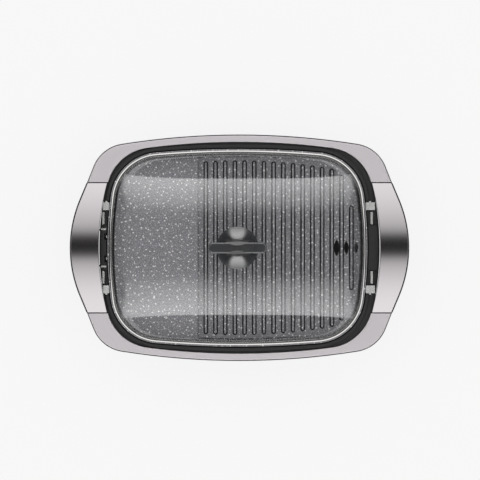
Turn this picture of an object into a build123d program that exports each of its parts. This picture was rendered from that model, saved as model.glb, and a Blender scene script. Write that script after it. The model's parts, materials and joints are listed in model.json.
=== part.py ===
from build123d import *
import math
import os
from dataclasses import dataclass

# Electric table grill: a tub on four feet carries a frame with two arched handles.
# A cast plate, half griddle and half ribbed, rests in the frame by four lugs and has
# its heater pressed into its underside. A domed glass lid lies on the plate's rim.
# A drip tray slides out of the right side. Millimetres, +Z up, +X along the length,
# -Y towards the cook, origin on the ground under the centre of the frame.

# Overall plan
overall_length = 500.0
overall_width = 336.0
long_side_crown = 1110.0
outer_corner_radius = 54.0
flank_angle = 21.6
handle_bulge_radius = 192.0

# Height stack, from the ground up
foot_height = 7.0
tub_height = 63.0
frame_thickness = 6.0
frame_lip_height = 3.0
frame_skirt_drop = 5.0
frame_skirt_wall = 2.4
trim_thickness = 3.0

# Trims and handles
trim_width = 11.3
trim_long_crown = 1046.0
trim_short_crown = 400.0
trim_inner_corner = 69.5
handle_width = 43.5
handle_recess = 1.6
handle_rise = 10.5
handle_screw_offset = 11.0
handle_tongue_inset = 6.0
handle_tongue_reach = 22.0
handle_tongue_overlap = 12.0
handle_cover_thickness = 1.6
handle_grip_thickness = 11.0
handle_cover_round = 1.0
handle_grip_round = 2.5
seam_half_span = 96.5
seam_gap = 1.4
lip_reveal = 1.9
trim_skirt = 1.6
fit_gap = 0.2
rest_gap = 0.3

# Lid ring outline, which the plate and the frame's hole follow
end_ledge_width = 16.5
side_ledge_width = 12.8
lid_long_crown = 1412.0
lid_short_crown = 583.0
lid_corner = 71.5
plate_shift = -3.0

# Cast plate
lid_clearance = 0.6
plate_lip_width = 1.7
plate_frame_gap = 1.9
plate_lip_rise = 4.0
lid_seat_depth = 3.0
lid_seat_width = 4.6
plate_depth = 11.0
plate_wall_draft = 3.0
griddle_step = 3.6
plate_floor = 5.0
plate_wall = 4.0
griddle_length = 123.3
rib_count = 16
rib_lead = 12.0
rib_end_margin = 4.8
rib_base_width = 7.2
rib_top_width = 2.9
rib_field_end_margin = 8.4
rib_field_side_margin = 6.3
rib_field_long_crown = 831.0
rib_field_short_crown = 414.0
rib_field_corner = 36.0
drain_slot_count = 3
drain_slot_length = 25.0
drain_slot_width = 8.6
drain_slot_step = 4.0
lug_half_span = 61.5
lug_width = 9.5
lug_reach_left = 9.0
lug_reach_right = 13.6
lug_thickness = 2.2
clip_thickness = 0.8
clip_tab_width = 3.0
clip_tab_reach = 2.2

# Heater and its terminals
heater_radius = 4.0
heater_bend = 26.0
heater_end_margin = 42.7
heater_side_margin = 39.7
heater_pass_spacing = 57.0
heater_return_margin = 90.7
heater_rail_width = 15.0
terminal_half_span = 16.6
terminal_radius = 2.5
terminal_reach = 6.2
insulator_radius = 3.7
insulator_length = 9.0
cold_end_length = 10.4
probe_sleeve_radius = 3.6
probe_bore_radius = 2.6
probe_sleeve_length = 74.0
guard_width = 62.0
guard_depth = 20.0
guard_height = 15.0
probe_boss_length = 30.0
probe_boss_width = 13.0
guard_screw_bite = 3.4
guard_ear = 10.0
sheet_thickness = 1.2

# Lid
ring_height = 5.2
ring_width = 4.4
ring_wall = 1.4
ring_round = 1.9
ring_foot_round = 0.8
glass_thickness = 4.0
dome_radius = 480.0
dome_seat = 24.0
dome_seat_crown = 40.0
dome_seat_corner = 20.0
knob_radius = 31.0
knob_edge_angle = 34.0
knob_side = 3.0
knob_washer_radius = 15.0
knob_washer_height = 3.0
knob_inner_washer_radius = 9.0
knob_inner_washer_thickness = 1.2
knob_head_radius = 5.0
knob_head_height = 2.6
grip_length = 85.0
grip_width = 17.4
grip_height = 17.0
grip_corner = 7.0
grip_scoop_radius = 28.0
grip_scoop_depth = 4.2
grip_scoop_lean = 13.5
knob_screw_radius = 2.5
knob_screw_reach = 14.0

# Tub, reflector and drip tray
tub_margin = 6.0
tub_long_crown = 1424.0
tub_short_crown = 595.0
tub_corner = 82.0
tub_inset = 7.0
tub_wall = 2.6
tub_floor = 3.0
tub_edge_fillet = 4.0
ear_radius = 4.2
ear_offset = 2.8
ear_height = 8.0
ear_end = 89.5
vent_count = 11
vent_pitch = 12.0
vent_length = 22.0
vent_width = 4.0
vent_bottom = 22.0
reflector_clearance = 1.2
reflector_rim = 6.0
reflector_margin = 12.0
reflector_fold = 3.0
reflector_drain_margin = 3.0
reflector_post_radius = 5.0
reflector_post_end = 51.5
reflector_post_side = 71.5
reflector_screw_length = 11.0
tray_length = 150.0
tray_width = 112.0
tray_clearance = 3.6
tray_wall = 1.8
tray_gap = 0.4
tray_front_width = 128.0
tray_front_height = 28.0
tray_front_thickness = 5.0
tray_pull_depth = 9.0
tray_corner = 8.0
tray_floor_fillet = 2.5
tray_end_clearance = 2.0
runner_height = 12.0
runner_width = 2.5

# Frame's inner bead and the ledges at the short sides
groove_depth = 2.0
bead_width = 5.2
bead_rise = 2.0
bead_fillet = 1.2
ledge_margin = 0.75
ledge_drop = 0.7
block_rise = 2.4
left_block_half_span = 26.0
pocket_margin = 0.95
pocket_length = 22.0
pocket_depth = 3.6
spring_width = 3.3
spring_length = 18.0
spring_thickness = 1.2
spring_inset = 7.4
guide_half_span = 27.6
guide_thickness = 2.6
notch_width = 10.0
notch_depth = 3.0

# Inlet shroud
shroud_half_width = 28.5
shroud_height = 31.0
shroud_wall = 3.0
shroud_depth = 8.0
shroud_flange = 5.0

# Feet and screws
foot_radius = 11.0
foot_top_radius = 12.5
foot_end = 51.5
foot_side = 53.5
foot_recess = 5.0
foot_screw_bite = 7.0
foot_boss_radius = 5.0
foot_boss_height = 6.5
foot_edge_fillet = 1.5
foot_recess_clearance = 1.2
screw_radius = 1.6
screw_head_radius = 3.2
screw_head_height = 2.0
screw_bite = 3.6
screw_clearance = 0.15

# Spans along the ledges that follow from the lugs
ledge_half_span = lug_half_span + lug_width / 2 + clip_thickness + clip_tab_reach + ledge_margin
pocket_far = lug_half_span - lug_width / 2 - clip_thickness - pocket_margin
pocket_near = pocket_far - pocket_length
right_block_half_span = pocket_near

# Levels that follow from the stack
tub_bottom = foot_height
frame_bottom = tub_bottom + tub_height
frame_top = frame_bottom + frame_thickness
trim_top = frame_top + trim_thickness
cut_top = 2 * trim_top
ledge_top = frame_top - ledge_drop
lug_bottom = ledge_top + rest_gap
lug_top = lug_bottom + lug_thickness
seat_level = lug_top
lip_top = seat_level + lid_seat_depth
griddle_level = seat_level - plate_depth
rib_floor_level = griddle_level - griddle_step
plate_underside = rib_floor_level - plate_floor
heater_level = plate_underside - heater_radius
reflector_level = plate_underside - guard_height - reflector_clearance - reflector_rim
tray_bottom = tub_bottom + tub_floor + tray_gap
tray_height = reflector_level - tray_clearance - tray_bottom
ring_bottom = seat_level + rest_gap
glass_edge_level = ring_bottom + ring_wall
drain_first_rib = rib_count - drain_slot_count


@dataclass
class Crowned:
    """A rounded rectangle whose four sides bow out a little, made of eight tangent arcs."""

    half_x: float
    half_y: float
    long_crown: float
    short_crown: float
    corner: float

    def grown(self, by):
        """The parallel outline, larger by the given distance."""
        return Crowned(
            self.half_x + by,
            self.half_y + by,
            self.long_crown + by,
            self.short_crown + by,
            self.corner + by,
        )

    def corner_centre(self):
        """Centre of the corner arc in the +X +Y quadrant."""
        top = Vector(0, self.half_y - self.long_crown)
        side = Vector(self.half_x - self.short_crown, 0)
        reach_top = self.long_crown - self.corner
        reach_side = self.short_crown - self.corner
        apart = (side - top).length
        along = (reach_top**2 - reach_side**2 + apart**2) / (2 * apart)
        across = math.sqrt(max(reach_top**2 - along**2, 0.0))
        unit = (side - top).normalized()
        return top + unit * along + Vector(unit.Y, -unit.X) * across

    def y_at(self, x):
        """Half width of the long side's crown at a distance x from the middle."""
        return self.half_y - self.long_crown + math.sqrt(self.long_crown**2 - x**2)

    def x_at(self, y):
        """Half length of the short side's crown at a distance y from the middle."""
        return self.half_x - self.short_crown + math.sqrt(self.short_crown**2 - y**2)

    def face(self):
        centre = self.corner_centre()
        top_y = self.half_y - self.long_crown
        side_x = self.half_x - self.short_crown
        high = math.atan2(centre.Y - top_y, centre.X)
        low = math.atan2(centre.Y, centre.X - side_x)
        turn = math.pi
        arcs = [
            arc(side_x, 0, self.short_crown, -low, low),
            arc(centre.X, centre.Y, self.corner, low, high),
            arc(0, top_y, self.long_crown, high, turn - high),
            arc(-centre.X, centre.Y, self.corner, turn - high, turn - low),
            arc(-side_x, 0, self.short_crown, turn - low, turn + low),
            arc(-centre.X, -centre.Y, self.corner, turn + low, turn + high),
            arc(0, -top_y, self.long_crown, turn + high, 2 * turn - high),
            arc(centre.X, -centre.Y, self.corner, -high, -low),
        ]
        return Face(Wire(arcs))


@dataclass
class Flanked:
    """The frame's outline: crowned long sides, corners, straight flanks and handle bulges."""

    half_x: float
    half_y: float
    long_crown: float
    bulge: float
    corner: float
    flank: float

    def grown(self, by):
        """The parallel outline, larger by the given distance."""
        return Flanked(
            self.half_x + by,
            self.half_y + by,
            self.long_crown + by,
            self.bulge + by,
            self.corner + by,
            self.flank,
        )

    def corner_centre(self):
        """Centre of the corner arc, tangent to the crown and to the flank."""
        outward = Vector(math.cos(self.flank), math.sin(self.flank))
        along = Vector(-outward.Y, outward.X)
        bulge_x = self.half_x - self.bulge
        inset = bulge_x * outward.X + self.bulge - self.corner
        top = Vector(0, self.half_y - self.long_crown)
        offset = outward * inset - top
        reach = self.long_crown - self.corner
        half = offset.dot(along)
        step = -half + math.sqrt(half**2 - offset.dot(offset) + reach**2)
        return outward * inset + along * step

    def face(self):
        centre = self.corner_centre()
        top_y = self.half_y - self.long_crown
        bulge_x = self.half_x - self.bulge
        high = math.atan2(centre.Y - top_y, centre.X)
        low = self.flank
        turn = math.pi
        quarters = [(1, 1), (-1, 1), (-1, -1), (1, -1)]
        edges = [
            arc(bulge_x, 0, self.bulge, -low, low),
            arc(-bulge_x, 0, self.bulge, turn - low, turn + low),
            arc(0, top_y, self.long_crown, high, turn - high),
            arc(0, -top_y, self.long_crown, turn + high, 2 * turn - high),
            arc(centre.X, centre.Y, self.corner, low, high),
            arc(-centre.X, centre.Y, self.corner, turn - high, turn - low),
            arc(-centre.X, -centre.Y, self.corner, turn + low, turn + high),
            arc(centre.X, -centre.Y, self.corner, -high, -low),
        ]
        near = Vector(bulge_x + self.bulge * math.cos(low), self.bulge * math.sin(low))
        far = centre + Vector(math.cos(low), math.sin(low)) * self.corner
        for sx, sy in quarters:
            edges.append(Edge.make_line((near.X * sx, near.Y * sy), (far.X * sx, far.Y * sy)))
        return Face(Wire(edges))


def arc(cx, cy, radius, start, end):
    """Circular edge about (cx, cy) between two angles in radians."""
    spots = [
        (cx + radius * math.cos(a), cy + radius * math.sin(a))
        for a in (start, (start + end) / 2, end)
    ]
    return Edge.make_three_point_arc(*spots)


def slab(outline, low, high, shift=0.0):
    """Upright solid of an outline between two levels, moved along X."""
    return extrude(Pos(shift, 0, low) * outline.face(), amount=high - low)


def block(x0, x1, y0, y1, z0, z1):
    """Box given by its limits."""
    return Pos((x0 + x1) / 2, (y0 + y1) / 2, (z0 + z1) / 2) * Box(
        abs(x1 - x0), abs(y1 - y0), abs(z1 - z0)
    )


def rod(x, y, z0, z1, radius):
    """Upright cylinder between two levels."""
    return Pos(x, y, (z0 + z1) / 2) * Cylinder(radius, z1 - z0)


def rod_x(x0, x1, y, z, radius):
    """Cylinder along X between two places."""
    return Pos((x0 + x1) / 2, y, z) * Rot(0, 90, 0) * Cylinder(radius, x1 - x0)


def ring_slab(outer, inner, low, high, shift=0.0):
    """Upright wall between two outlines."""
    return slab(outer, low, high, shift) - slab(inner, low - 1, high + 1, shift)


def up_screw(x, y, seat, length):
    """Pan head screw driven upwards, its head under the seat level."""
    head = rod(x, y, seat - screw_head_height, seat, screw_head_radius)
    cross = Pos(x, y, seat - screw_head_height) * Box(3.6, 0.9, 1.6)
    cross += Pos(x, y, seat - screw_head_height) * Box(0.9, 3.6, 1.6)
    return head + rod(x, y, seat, seat + length, screw_radius) - cross


def up_hole(x, y, low, high):
    """Clearance hole for a screw."""
    return rod(x, y, low, high, screw_radius + screw_clearance)


# Outlines that the pieces share
frame_line = Flanked(
    overall_length / 2,
    overall_width / 2,
    long_side_crown,
    handle_bulge_radius,
    outer_corner_radius,
    math.radians(flank_angle),
)
trim_inner = Crowned(
    overall_length / 2 - handle_width,
    overall_width / 2 - trim_width,
    trim_long_crown,
    trim_short_crown,
    trim_inner_corner,
)
handle_line = trim_inner.grown(handle_recess)
spring_half_span = trim_inner.half_x - spring_inset
ring_line = Crowned(
    trim_inner.half_x - end_ledge_width,
    trim_inner.half_y - side_ledge_width,
    lid_long_crown,
    lid_short_crown,
    lid_corner,
)
lip_inner = ring_line.grown(lid_clearance)
lip_outer = lip_inner.grown(plate_lip_width)
hole_line = lip_outer.grown(plate_frame_gap)
seat_inner = ring_line.grown(-lid_seat_width)
floor_line = seat_inner.grown(-plate_wall_draft)
body_line = seat_inner.grown(plate_wall)
tub_line = Crowned(
    hole_line.half_x + tub_margin,
    hole_line.half_y + tub_margin,
    tub_long_crown,
    tub_short_crown,
    tub_corner,
)
ear_spacing = tub_line.half_x - ear_end
reflector_post_x = tub_line.half_x - reflector_post_end
reflector_post_y = tub_line.half_y - reflector_post_side
foot_x = tub_line.half_x - foot_end
foot_y = tub_line.half_y - foot_side
griddle_edge = -floor_line.half_x + griddle_length
rib_field = Crowned(
    floor_line.half_x - rib_field_end_margin,
    floor_line.half_y - rib_field_side_margin,
    rib_field_long_crown,
    rib_field_short_crown,
    rib_field_corner,
)
rib_first = griddle_edge + rib_lead
rib_pitch = (rib_field.half_x - rib_end_margin - rib_first) / (rib_count - 1)
heater_half_length = body_line.half_x - heater_end_margin
heater_half_width = body_line.half_y - heater_side_margin
heater_inner_half_width = heater_half_width - heater_pass_spacing
heater_left_return = -body_line.half_x + heater_return_margin
terminal_x0 = plate_shift - hole_line.half_x - terminal_reach + 4.0
cold_end_x = plate_shift - body_line.half_x + cold_end_length
probe_end_x = terminal_x0 + 2.5 + probe_sleeve_length


def tub_half_x(level):
    """Half length of the tub's outer wall at a level."""
    return tub_line.half_x - tub_inset * (frame_bottom - level) / tub_height


def tapered(outline, inset, low, high):
    """Solid between an outline at its top and the smaller one at its foot."""
    foot = Pos(0, 0, low) * outline.grown(-inset).face()
    head = Pos(0, 0, high) * outline.face()
    return Solid.make_loft([foot.outer_wire(), head.outer_wire()], ruled=True)


ear_places = [
    (x, side * (tub_line.y_at(x) + ear_offset))
    for x in (-ear_spacing, 0.0, ear_spacing)
    for side in (-1, 1)
]
handle_places = [(sx, sy) for sx in (-1, 1) for sy in (-1, 1)]
tray_x1 = tub_half_x(tray_bottom + tray_height) - tub_wall - tray_end_clearance
tray_x0 = tray_x1 - tray_length
runner_y = tray_width / 2 + tray_gap


def handle_screw_place(sx, sy):
    """Screw through a handle's tongue, in the middle of the frame's corner."""
    y = seam_half_span + handle_screw_offset
    outer_x = frame_line.half_x - frame_line.bulge + frame_line.bulge * math.cos(frame_line.flank)
    slant = (y - frame_line.bulge * math.sin(frame_line.flank)) * math.tan(frame_line.flank)
    x = (outer_x - slant + trim_inner.x_at(y)) / 2
    return sx * x, sy * y


def make_tub():
    """Moulded tub with its floor, ears for the frame, vents, posts and tray runners."""
    outer = tapered(tub_line, tub_inset, tub_bottom, frame_bottom)
    outer = fillet(outer.edges().group_by(Axis.Z)[0], tub_edge_fillet)
    slope = tub_inset * tub_floor / tub_height
    inner = tapered(
        tub_line.grown(-tub_wall),
        tub_inset - slope,
        tub_bottom + tub_floor,
        frame_bottom,
    )
    lid_cut = slab(tub_line.grown(-tub_wall), frame_bottom - 0.01, frame_bottom + 1)
    tub = outer - inner - lid_cut
    for x, y in ear_places:
        tub += rod(x, y, frame_bottom - ear_height, frame_bottom, ear_radius)
    for x, y in ear_places:
        tub -= up_hole(x, y, frame_bottom - ear_height - 1, frame_bottom + 1)
    floor_top = tub_bottom + tub_floor
    for sx, sy in handle_places:
        post = rod(
            sx * reflector_post_x,
            sy * reflector_post_y,
            floor_top - 0.5,
            reflector_level,
            reflector_post_radius,
        )
        bore = rod(
            sx * reflector_post_x,
            sy * reflector_post_y,
            reflector_level - reflector_screw_length,
            reflector_level + 1,
            screw_radius + screw_clearance,
        )
        tub += post
        tub -= bore
        foot_bore = rod(
            sx * foot_x,
            sy * foot_y,
            tub_bottom - 1,
            tub_bottom + foot_screw_bite + 0.4,
            screw_radius + screw_clearance,
        )
        boss = rod(
            sx * foot_x,
            sy * foot_y,
            floor_top - 0.5,
            floor_top + foot_boss_height,
            foot_boss_radius,
        )
        tub += boss
        tub -= foot_bore
    for side in (-1, 1):
        near = side * runner_y
        far = side * (runner_y + runner_width)
        tub += block(
            tray_x0, tray_x1 - 4, min(near, far), max(near, far), floor_top - 0.5,
            floor_top + runner_height,
        )
    mouth = block(
        tub_half_x(tub_bottom) - 30,
        tub_line.half_x + 5,
        -tray_width / 2 - tray_gap,
        tray_width / 2 + tray_gap,
        floor_top,
        tray_bottom + tray_height + tray_gap,
    )
    inlet = block(
        -tub_line.half_x - 5,
        -tub_half_x(tub_bottom) + 30,
        -shroud_half_width + shroud_wall,
        shroud_half_width - shroud_wall,
        frame_bottom - shroud_height + shroud_wall,
        frame_bottom + 1,
    )
    vents = Pos(0, 0, vent_bottom + vent_length / 2) * Rot(90, 0, 0) * SlotOverall(
        vent_length, vent_width, rotation=90
    )
    for side in (-1, 1):
        for i in range(vent_count):
            x = (i - (vent_count - 1) / 2) * vent_pitch
            start = side * (tub_line.half_y - 30)
            cutter = extrude(Pos(x, start, 0) * vents, amount=-side * 60)
            tub -= cutter
    return tub - mouth - inlet


def make_reflector():
    """Sheet metal heat reflector that lies on the tub's posts."""
    line = tub_line.grown(-reflector_margin - tub_wall)
    pan = slab(line, reflector_level, reflector_level + reflector_rim)
    pan = fillet(pan.edges().group_by(Axis.Z)[0], reflector_fold)
    pan -= slab(
        line.grown(-sheet_thickness),
        reflector_level + sheet_thickness,
        reflector_level + reflector_rim + 1,
    )
    for sx, sy in handle_places:
        pan -= up_hole(
            sx * reflector_post_x, sy * reflector_post_y, reflector_level - 1, reflector_level + 3
        )
    drain_mid = plate_shift + rib_first + (drain_first_rib + 1.0) * rib_pitch
    pan -= block(
        drain_mid - 1.6 * rib_pitch,
        drain_mid + 1.1 * rib_pitch,
        -drain_slot_length / 2 - reflector_drain_margin,
        drain_slot_length / 2 + reflector_drain_margin,
        reflector_level - 1,
        reflector_level + 3,
    )
    return pan


def make_reflector_screws():
    """Four screws that hold the reflector on its posts."""
    screws = []
    seat = reflector_level + sheet_thickness
    for sx, sy in handle_places:
        x, y = sx * reflector_post_x, sy * reflector_post_y
        head = rod(x, y, seat, seat + screw_head_height, screw_head_radius)
        screws.append(head + rod(x, y, seat - reflector_screw_length, seat, screw_radius))
    return Compound(children=screws)


def handle_side(sx):
    """Everything outside the ledge on one short side, up to just past the handle's ends."""
    reach = seam_half_span - seam_gap / 2 + fit_gap
    strip = block(0, sx * overall_length, -reach, reach, 0, cut_top)
    return strip - slab(handle_line.grown(-rest_gap), -1, cut_top + 1)


def make_frame():
    """Black moulded frame: lip, deck under the trims, groove, inner bead and end ledges."""
    deck_line = frame_line.grown(-lip_reveal - trim_skirt - fit_gap)
    frame = slab(frame_line, frame_bottom, frame_bottom + frame_lip_height)
    frame += slab(deck_line, frame_bottom + frame_lip_height, frame_top)
    skirt_inner = frame_line.grown(-frame_skirt_wall)
    frame += ring_slab(frame_line, skirt_inner, frame_bottom - frame_skirt_drop, frame_bottom)
    for sx in (-1, 1):
        frame -= handle_side(sx)
    bead_line = hole_line.grown(bead_width)
    groove = slab(trim_inner, frame_top - groove_depth, frame_top + 1)
    groove -= slab(bead_line, frame_top - groove_depth - 1, frame_top + 2, plate_shift)
    frame -= groove
    bead = slab(bead_line, frame_top - 1, frame_top + bead_rise, plate_shift)
    bead = fillet(bead.edges().group_by(Axis.Z)[-1], bead_fillet)
    frame += bead
    for side in (-1, 1):
        far = side * overall_length
        frame -= block(0, far, -ledge_half_span, ledge_half_span, ledge_top, cut_top)
        half = left_block_half_span if side < 0 else right_block_half_span
        crown = slab(trim_inner.grown(-1.2), ledge_top - 0.5, ledge_top + block_rise)
        crown &= block(0, far, -half, half, ledge_top - 0.5, cut_top)
        frame += crown
        frame -= pockets(side)
    frame -= slab(hole_line, frame_bottom - 1, cut_top, plate_shift)
    for x, y in ear_places:
        frame -= up_hole(x, y, frame_bottom - 1, frame_bottom + screw_bite)
    for sx, sy in handle_places:
        x, y = handle_screw_place(sx, sy)
        frame -= up_hole(x, y, frame_bottom - 1, frame_bottom + screw_bite)
    edge = plate_shift - hole_line.half_x
    for sy in (-1, 1):
        mid = sy * terminal_half_span
        frame -= block(
            edge - notch_depth,
            edge + 5,
            mid - notch_width / 2,
            mid + notch_width / 2,
            frame_bottom - 1,
            cut_top,
        )
        frame -= guide_strip(sy, fit_gap / 2)
    return frame


def ledge_span(side, y):
    """Inner and outer X of the ledge on one short side at a distance y from the middle."""
    inner = side * hole_line.x_at(y) + plate_shift
    return inner, side * trim_inner.x_at(y)


def pockets(side):
    """Two recesses in one ledge, one on each side of its middle block."""
    wells = []
    for sy in (-1, 1):
        y0, y1 = sorted((sy * pocket_near, sy * pocket_far))
        inner, outer = ledge_span(side, (pocket_near + pocket_far) / 2)
        x0, x1 = sorted((inner + side * 1.4, outer - side * 0.2))
        wells.append(block(x0, x1, y0, y1, ledge_top - pocket_depth, cut_top))
    return wells


def make_ledge_springs():
    """Bright leaf springs that lie in the pockets of the ledges."""
    low = ledge_top - pocket_depth
    springs = []
    for side, sy in handle_places:
        x = plate_shift + side * spring_half_span
        y = sy * (pocket_near + pocket_far) / 2
        springs.append(
            block(
                x - spring_width / 2,
                x + spring_width / 2,
                y - spring_length / 2,
                y + spring_length / 2,
                low,
                low + spring_thickness,
            )
        )
    return Compound(children=springs)


def guide_strip(sy, grow):
    """Bright strip beside the inlet block, pressed into the left ledge."""
    inner, outer = ledge_span(-1, guide_half_span)
    return block(
        outer + 0.4 - grow,
        inner - 0.6 + grow,
        sy * guide_half_span - guide_thickness / 2 - grow,
        sy * guide_half_span + guide_thickness / 2 + grow,
        ledge_top - 1.5 - grow,
        ledge_top + 1.6 + grow * 50,
    )


def make_guides():
    """The pair of strips that guide the plate's terminal end."""
    return Compound(children=[guide_strip(-1, 0), guide_strip(1, 0)])


def make_trim(sy):
    """Satin rim cover of one long side, with a skirt over the frame's edge."""
    outer = frame_line.grown(-lip_reveal)
    trim = ring_slab(outer, trim_inner, frame_bottom + frame_lip_height + fit_gap, trim_top)
    trim = fillet(trim.edges().group_by(Axis.Z)[-1], 1.0)
    trim -= slab(
        outer.grown(-trim_skirt), frame_bottom, frame_top
    )
    half = block(
        -overall_length,
        overall_length,
        sy * (seam_half_span + seam_gap / 2),
        sy * overall_width,
        0,
        cut_top,
    )
    return trim & half


def arch(low, high, half_span):
    """Slab bent about the X axis, between two depths below the handle's top line."""
    radius = (seam_half_span**2 + handle_rise**2) / (2 * handle_rise)
    centre = trim_top + handle_rise - radius
    tube = Rot(0, 90, 0) * Cylinder(radius - low, overall_length * 1.2)
    tube -= Rot(0, 90, 0) * Cylinder(radius - high, overall_length * 1.3)
    span = block(
        -overall_length, overall_length, -half_span, half_span, trim_top - radius / 4,
        trim_top + radius,
    )
    return Pos(0, 0, centre) * tube & span


def handle_region(sx, outer_inset, inner_inset):
    """Plan of one handle as a tall solid."""
    zone = slab(frame_line.grown(-outer_inset), 0, cut_top)
    zone -= slab(handle_line.grown(inner_inset), -1, cut_top + 1)
    return zone & block(0, sx * overall_length, -overall_width, overall_width, 0, cut_top)


def long_edges(bow, up):
    """Edges along the upper or lower face of a handle piece, without its end edges."""
    broad = sorted(bow.faces(), key=lambda face: -face.area)[:2]
    face = sorted(broad, key=lambda one: up * one.center().Z)[-1]
    return [edge for edge in face.edges() if abs(edge.center().Y) < seam_half_span - 5]


def make_handle_cover(sx):
    """Polished arched cover of one handle."""
    cover = arch(0, handle_cover_thickness, seam_half_span - seam_gap / 2)
    cover &= handle_region(sx, lip_reveal, 0.0)
    return fillet(long_edges(cover, 1), handle_cover_round)


def make_handle_grip(sx):
    """Black lower half of one handle, with tongues that reach under the frame's corners."""
    half = seam_half_span - seam_gap / 2
    grip = arch(handle_cover_thickness, handle_cover_thickness + handle_grip_thickness, half)
    tongue_top = frame_bottom
    grip &= handle_region(sx, 0.0, 0.0)
    grip = fillet(long_edges(grip, -1), handle_grip_round)
    tongue_zone = handle_region(sx, handle_tongue_inset, handle_tongue_inset)
    for sy in (-1, 1):
        near, far = half - handle_tongue_overlap, half + handle_tongue_reach
        y0, y1 = sorted((sy * near, sy * far))
        tongue = block(
            0, sx * overall_length, y0, y1, tongue_top - frame_thickness, tongue_top
        )
        grip += tongue & tongue_zone
        x, y = handle_screw_place(sx, sy)
        grip -= up_hole(x, y, tongue_top - frame_thickness - 1, tongue_top + 1)
    return grip


def make_handle_screws():
    """Four screws through the handles' tongues into the frame."""
    seat = frame_bottom - frame_thickness
    reach = frame_thickness + screw_bite - 0.6
    places = [handle_screw_place(sx, sy) for sx, sy in handle_places]
    return Compound(children=[up_screw(x, y, seat, reach) for x, y in places])


def make_frame_screws():
    """Six screws through the tub's ears into the frame."""
    seat = frame_bottom - ear_height
    reach = ear_height + screw_bite - 0.6
    return Compound(children=[up_screw(x, y, seat, reach) for x, y in ear_places])


def make_shroud():
    """Heat-proof frame round the opening where the control plug enters."""
    low = frame_bottom - shroud_height
    x_out = -tub_line.half_x - shroud_depth
    x_in = -tub_half_x(low) + 1
    body = block(x_out, x_in, -shroud_half_width, shroud_half_width, low, frame_bottom)
    flange = block(
        -tub_line.half_x - 2.5,
        x_in,
        -shroud_half_width - shroud_flange,
        shroud_half_width + shroud_flange,
        low - shroud_flange,
        frame_bottom,
    )
    window = block(
        x_out - 1,
        x_in + 1,
        -shroud_half_width + shroud_wall,
        shroud_half_width - shroud_wall,
        low + shroud_wall,
        frame_bottom + 1,
    )
    shroud = fillet((body + flange).edges().group_by(Axis.X)[0].filter_by(Axis.Z), 2.0)
    shroud -= window
    wall = tapered(tub_line, tub_inset, tub_bottom, frame_bottom)
    return shroud - wall


def make_foot(sx, sy):
    """Rubber foot with a recess for its screw."""
    foot = Pos(sx * foot_x, sy * foot_y, foot_height / 2) * Cone(
        foot_radius, foot_top_radius, foot_height
    )
    foot = fillet(foot.edges().group_by(Axis.Z)[0], foot_edge_fillet)
    recess_radius = screw_head_radius + foot_recess_clearance
    foot -= rod(sx * foot_x, sy * foot_y, -1, foot_recess, recess_radius)
    return foot - up_hole(sx * foot_x, sy * foot_y, 0, foot_height + 1)


def make_foot_screws():
    """Four screws that hold the feet."""
    return Compound(
        children=[
            up_screw(
                sx * foot_x, sy * foot_y, foot_recess, foot_height - foot_recess + foot_screw_bite
            )
            for sx, sy in handle_places
        ]
    )


def rib_half_length(x):
    """Half length of a rib whose middle is x from the plate's middle."""
    line = block(x - 0.05, x + 0.05, -overall_width, overall_width, 0, 1)
    return (slab(rib_field, 0, 1) & line).bounding_box().max.Y


def rib_places():
    """Middles of the ribs along X, in the plate's own frame."""
    return [rib_first + i * rib_pitch for i in range(rib_count)]


def make_ribs():
    """Raised bars of the ribbed half, narrower at the top."""
    taper = math.degrees(math.atan((rib_base_width - rib_top_width) / 2 / griddle_step))
    ribs = []
    for x in rib_places():
        plan = SlotOverall(2 * rib_half_length(x), rib_base_width, rotation=90)
        foot = Pos(x + plate_shift, 0, rib_floor_level) * plan
        ribs.append(extrude(foot, amount=griddle_step, taper=taper))
    return ribs


def drain_slots():
    """Lens-shaped slots between the last ribs, right through the plate's floor."""
    slots = []
    for i in range(drain_slot_count):
        share = 1 - i * drain_slot_step / drain_slot_length
        half, width = share * drain_slot_length / 2, share * drain_slot_width / 2
        x = rib_first + (drain_first_rib + i + 0.5) * rib_pitch + plate_shift
        sides = [
            Edge.make_three_point_arc((x, -half), (x + s * width, 0), (x, half)) for s in (1, -1)
        ]
        face = Pos(0, 0, plate_underside - 20) * Face(Wire(sides))
        slots.append(extrude(face, amount=40))
    return slots


def heater_path():
    """Centre line of the heater, from one terminal round to the other."""
    end = -body_line.half_x + cold_end_length
    left, right = -heater_half_length, heater_half_length
    wide, near = heater_half_width, heater_inner_half_width
    half = [
        (end, terminal_half_span),
        (left, terminal_half_span),
        (left, wide),
        (right, wide),
        (right, near),
        (heater_left_return, near),
    ]
    points = half + [(x, -y) for x, y in reversed(half)]
    placed = [(x + plate_shift, y, heater_level) for x, y in points]
    return FilletPolyline(*placed, radius=heater_bend)


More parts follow.
